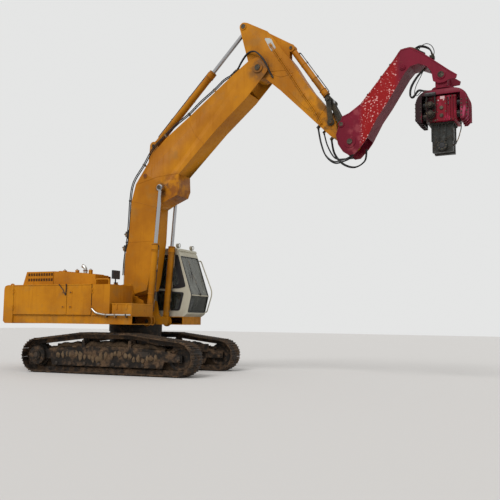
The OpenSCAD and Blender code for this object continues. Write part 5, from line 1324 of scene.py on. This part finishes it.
def make_seat():
    """Two cushions blown up a little from boxes in the space of the solid ones; the foot stays a
    plain pedestal."""
    for name, low, high in (("seat_cushion", (-.27, .70, 1.685), (.205, 1.155, 1.79)),
                            ("seat_back", (-.408, .71, 1.70), (-.315, 1.145, 2.38))):
        form = rounded_bar(Form(), low + AXIS, high + AXIS, .035)
        cushion = form.make(name, "house", "seat_fabric")
        cushion.parent = None
        remesh = cushion.modifiers.new("even", "REMESH")
        remesh.mode, remesh.voxel_size = "VOXEL", .014
        bake_modifiers(cushion)
        rest = np.empty(len(cushion.data.vertices) * 3)
        cushion.data.vertices.foreach_get("co", rest)
        blow = cushion.modifiers.new("fill", "CLOTH")
        blow.settings.use_pressure, blow.settings.uniform_pressure_force = True, 4.0
        blow.settings.effector_weights.gravity = 0.0
        for step in range(1, 21):
            bpy.context.scene.frame_set(step)
        bake_modifiers(cushion)
        bpy.context.scene.frame_set(1)
        moved = np.empty_like(rest)
        cushion.data.vertices.foreach_get("co", moved)
        shift = (moved - rest).reshape(-1, 3)
        far = np.linalg.norm(shift, axis=1, keepdims=True)
        shift *= np.minimum(1, .012 / np.maximum(far, 1e-9))
        cushion.data.vertices.foreach_set("co", (rest.reshape(-1, 3) + shift).ravel())
        cushion.data.polygons.foreach_set("use_smooth", np.ones(len(cushion.data.polygons), bool))
        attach(cushion, "house")
        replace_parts(cushion, "seat")
    base = Form()
    rounded_bar(base, (-.25, .77, 1.352) + AXIS, (.15, 1.08, 1.66) + AXIS, .03)
    rounded_bar(base, (-.28, .70, 1.655) + AXIS, (.20, 1.15, 1.684) + AXIS, .01, 0)
    base.make("seat_foot", "house", "seat_fabric", "black_plastic")


def bake_modifiers(piece):
    """The piece's mesh becomes what its modifiers make of it."""
    bpy.context.view_layer.update()
    shown = piece.evaluated_get(bpy.context.evaluated_depsgraph_get())
    mesh = bpy.data.meshes.new_from_object(shown)
    piece.modifiers.clear()
    piece.data = mesh


# Gooseneck and hammer

NECK_TOP = np.array([(5.79, 5.90), (6.08, 6.24), (6.51, 6.76), (6.64, 6.95), (6.84, 6.97),
                     (7.11, 6.80), (7.38, 6.57)])


def make_neck_fittings():
    """Clamps with steel lines along the neck's top edge, and the saddle of the hoses on its crown."""
    lines, clamps, steel, saddle = Form(), Form(), Form(), Form()
    path = off_outline(NECK_TOP, .03)[:-1]
    for y in (-.17, -.13, .13, .17):
        tube(lines, bent(in_plane(path, y), .07), .011, 10)
    for at in (.5, 1.35, 1.8, 4.5):
        clamp_pair(clamps, steel, spot(NECK_TOP, at), .15, (.04, .09, .048), (.009, .008))
    lines.make("neck_lines", "gooseneck", "hose_rubber", "dark_steel")
    clamps.make("neck_line_clamps", "gooseneck", "link_steel")
    steel.make("neck_screws", "gooseneck", "link_steel", "pin_steel")
    block_on(saddle, in_plane((7.245, 6.735), 0), (1, 0), (0, 1), (.095, .13, .07))
    bolts(saddle, in_plane([(7.22, 6.805), (7.27, 6.805)], 0), Z, .01, .008)
    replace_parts(saddle.make("hose_saddle", "gooseneck", "link_steel"), "neck_clamp")


def on_head(x, y, z):
    """A place whose x is measured from the hammer's middle, in the frame."""
    return from_axis([HEAD + x, y, z])


def head_row(xs, y, zs):
    """Places at every pair of an x and a z, at one distance from the middle plane."""
    return [on_head(x, y, z) for x in xs for z in zs]


# How far the hammer's plain face, its flanges and its panel lie from the middle plane
HEAD_FACE, HEAD_FLANGE, HEAD_PANEL = .32, .281, .294


def make_hammer_fittings():
    """Steel plates between the rubbers, screws along flanges, ports, lines, bare marks and slots."""
    plates, steel, black, marks, lines, teeth = (Form() for _ in range(6))
    to_right, down = (0, -1, 0), (0, 0, -1)
    for y in (-.17, .17):
        for z in (5.45, 5.69):
            for x in (-.379, .301):
                for share in (.004, .025, .046, .068):
                    turned_ring(plates, on_head(x + share, y, z), X, .04, .068, .006, 20)
    flange = [x for x in np.linspace(-.27, .27, 8) if not -.11 < x < .13]
    for side in (RIGHT, LEFT):
        out = (0, side, 0)
        for x in (-.505, -.405, .405, .505):
            bolts(steel, head_row([x], side * HEAD_FACE, np.linspace(5.38, 5.70, 5)), out, .012, .011)
        bolts(steel, head_row(flange, side * HEAD_FLANGE, (5.333, 5.807)), out, .012)
        bolts(steel, head_row((-.07, .09), side * HEAD_PANEL, (5.34, 5.5, 5.66, 5.74)), out, .010)
        for z in (5.42, 5.58):
            spun(steel, [(0, .04), (.012, .04), (.018, .03), (.026, .03)],
                 on_head(.01, side * HEAD_PANEL, z), out, 20)
        bolts(steel, head_row(np.linspace(-.22, .22, 6), side * .21, [5.289]), down, .011)
    # Motors: end plates with screws, ports and steel lines up to a block under the beam
    for z in (5.455, 5.64):
        end = on_head(-.195, -.4253, z)
        spun(steel, [(0, .038), (.01, .036), (.012, .02)], end, to_right, 20)
        bolts(steel, end + round_y(6, .055, .3) + (0, .022, 0), to_right, .008)
        bolts(steel, on_head(-.195, -.287, z) + round_y(6, .07, .3), to_right, .008)
        for x, way in ((-.25, -1), (-.14, 1)):
            start = on_head(x, -.345, z + .02)
            corner = start + (way * .035, 0, 0)
            tube(lines, bent([start, corner, corner + (0, 0, .12),
                              on_head(x + way * .02, -.345, 5.84)], .03), .010, 10)
            spun(steel, [(-.004, .017), (.02, .017)], start, (way, 0, 0), 10)
    rounded_bar(black, on_head(-.31, -.385, 5.83), on_head(-.09, -.30, 5.90), .012, 0)
    bolts(steel, head_row((-.28, -.2, -.12), -.385, [5.865]), to_right, .010)
    # Slots right of the panel, marks left bare
    for z0, z1 in ((5.64, 5.71), (5.73, 5.80)):
        rounded_bar(black, on_head(.133, -.2865, z0), on_head(.157, -.258, z1), .006)
    for x in (-.052, .052):
        spun(marks, [(-.002, .014), (.002, .0135), (.003, .008)], on_head(x, -.2942, 5.74),
             to_right, 14)
    plate(marks, rectangle(.045, .03, .01), .003, on_head(.03, -.2942, 5.79), X, Z)
    # Clamp: screws on its flange, the ram's cap, teeth in the slot and a steel line down its right
    for side in (RIGHT, LEFT):
        bolts(steel, head_row(np.linspace(-.22, .22, 5), side * .19, [5.269]), down, .013)
    cap = on_head(0, -.24, 4.82)
    bolts(steel, cap + round_y(8, .08), to_right, .011)
    spun(black, [(0, .055), (.006, .052), (.008, .03)], cap, to_right)
    corners = (.36, 5.31), (.365, 5.18), (.30, 4.95), (.235, 4.84), (.2, 4.84)
    tube(lines, bent([on_head(x, -.1, z) for x, z in corners], .09), .010, 10)
    spun(steel, [(-.01, .02), (.02, .02), (.024, .014)], on_head(.205, -.1, 4.84), X, 12)
    spun(steel, [(-.03, .018), (.006, .018)], on_head(.36, -.1, 5.29), Z, 12)
    tooth = Form().add([(-.5, -1, 0), (.5, -1, 0), (.5, 1, 0), (-.5, 1, 0), (0, -1, 1), (0, 1, 1)],
                       [(0, 1, 2, 3), (0, 4, 1), (3, 2, 5), (0, 3, 5, 4), (1, 4, 5, 2)])
    teeth.repeat(tooth, head_row(np.linspace(-.18, .18, 13), .055, [4.83]),
                 [(.026, 0, 0), (0, 0, .1), (0, -.0035, 0)])
    plates.make("rubber_plates", "hammer", "motor_iron", "dark_steel")
    steel.make("hammer_screws", "hammer", "motor_iron", "pin_steel")
    black.make("hammer_ports", "hammer", "motor_iron", "black_plastic")
    lines.make("hammer_lines", "hammer", "motor_iron", "dark_steel")
    marks.make("bare_marks", "hammer", "case_paint", "mark_pale")
    teeth.make("clamp_teeth", "hammer", "clamp_steel")


# Running gear

def make_running_gear():
    """Screws and caps on the drives, idlers and rollers, and covers on the side frames."""
    steel, caps = Form(), Form()
    cover = rectangle(.17, .06, .05)
    reach = WHEEL_PLACE - END_RADIUS - .1
    for side in (RIGHT, LEFT):
        out = TRACK_AXES[1] * side

        def screws(points, size):
            bolts(steel, under(points, side), out, size)

        def cap(profile, place, sides):
            spun(caps, profile, under(place, side), out, sides)

        screws(round_y(18, .197) + (-WHEEL_PLACE, .235, END_RADIUS), .013)
        screws(round_y(12, .095) + (-WHEEL_PLACE, .27, END_RADIUS), .012)
        cap([(-.004, .06), (.006, .058), (.012, .05), (.012, .02)],
            (-WHEEL_PLACE, .27, END_RADIUS), 24)
        cap([(-.004, .062), (.012, .06), (.02, .05), (.02, .02)],
            (WHEEL_PLACE, .175, END_RADIUS), 24)
        screws(round_y(4, .04, .6) + (WHEEL_PLACE, .195, END_RADIUS), .009)
        for x in np.linspace(-reach, reach, 8):
            cap([(-.002, .042), (.012, .04), (.018, .03), (.018, .012)], (x, FRAME_FACE, .2205), 16)
            screws([(x - .055, FRAME_FACE, .235), (x + .055, FRAME_FACE, .235)], .011)
        for x in (-.6, .6):
            cap([(-.002, .034), (.012, .032), (.016, .02)], (x, FRAME_FACE, .73), 14)
        for x in (-.95, .95):
            plate(caps, cover, .012, under((x, FRAME_FACE + SEAT_GAP, .47), side),
                  TRACK_AXES[0] * -side, Z)
            screws([(x + dx, .178, .47 + dz) for dx in (-.13, .13) for dz in (-.035, .035)], .010)
    steel.make("running_screws", "undercarriage", "roller_iron")
    caps.make("running_caps", "undercarriage", "roller_iron", "caps_iron")


def make_shoe_mud():
    """Pale dried clods on the outer ends of the shoes that face forwards and on some others."""
    rng = np.random.default_rng(11)
    form = Form()
    shapes = [clod(rng, np.array([.05, .07, .016])) for _ in range(5)]
    for side in (RIGHT, LEFT):
        places, axes = track_frames(np.tile(SHOE_PLACES, 2), side)
        for i in range(len(places)):
            if rng.random() < (.9 if places[i, 0] - AXIS[0] > 1.5 else .3):
                across = side * (.255 - .12 * (i >= SHOES) * rng.random())
                shape = shapes[i % 5]
                scale = rng.uniform(.6, 1.1, 3)[:, None] * axes[i]
                form.repeat(shape, [places[i] + axes[i, 1] * across + axes[i, 2] * .022], scale)
    form.make("shoe_mud", "undercarriage", "track_steel", "dried_mud", LUMPY)


dress_nodes()
make_hoses()
make_tracks()
make_mud()
make_packed_mud()
make_pin_ends()
make_cylinder_fittings()
make_boom_pipes()
make_back_hoses()
make_stick_pipes()
make_welds()
make_door_fittings()
make_hood_fittings()
make_deck_fittings()
make_cab_fittings()
make_seat()
make_neck_fittings()
make_hammer_fittings()
make_running_gear()
make_shoe_mud()


# Studio: a pale floor and soft light

def make_studio():
    floor_form = Form()
    reach = 60.0
    corners = np.array([[[-reach, -reach, 0], [reach, -reach, 0]], [[-reach, reach, 0], [reach, reach, 0]]])
    floor_form.grid(corners, wrap_cols=False)
    mesh = bpy.data.meshes.new("floor")
    mesh.from_pydata(floor_form.points[0].tolist(), [], floor_form.faces)
    pale = Finish("pale_floor").finish(Base_Color=colour(0.52, 0.505, 0.49), Roughness=0.9)
    mesh.materials.append(pale)
    floor = bpy.data.objects.new("floor", mesh)
    bpy.context.scene.collection.objects.link(floor)
    world = bpy.data.worlds.new("sky")
    world.use_nodes = True
    world.node_tree.nodes["Background"].inputs["Color"].default_value = colour(0.90, 0.905, 0.90)
    world.node_tree.nodes["Background"].inputs["Strength"].default_value = 0.87
    bpy.context.scene.world = world
    sun = bpy.data.lights.new("soft_sun", "SUN")
    sun.energy, sun.angle = 1.9, math.radians(30)
    lamp = bpy.data.objects.new("soft_sun", sun)
    lamp.rotation_euler = (math.radians(42), math.radians(6), math.radians(-14))
    bpy.context.scene.collection.objects.link(lamp)
    bpy.context.scene.view_settings.view_transform = "Standard"


make_studio()
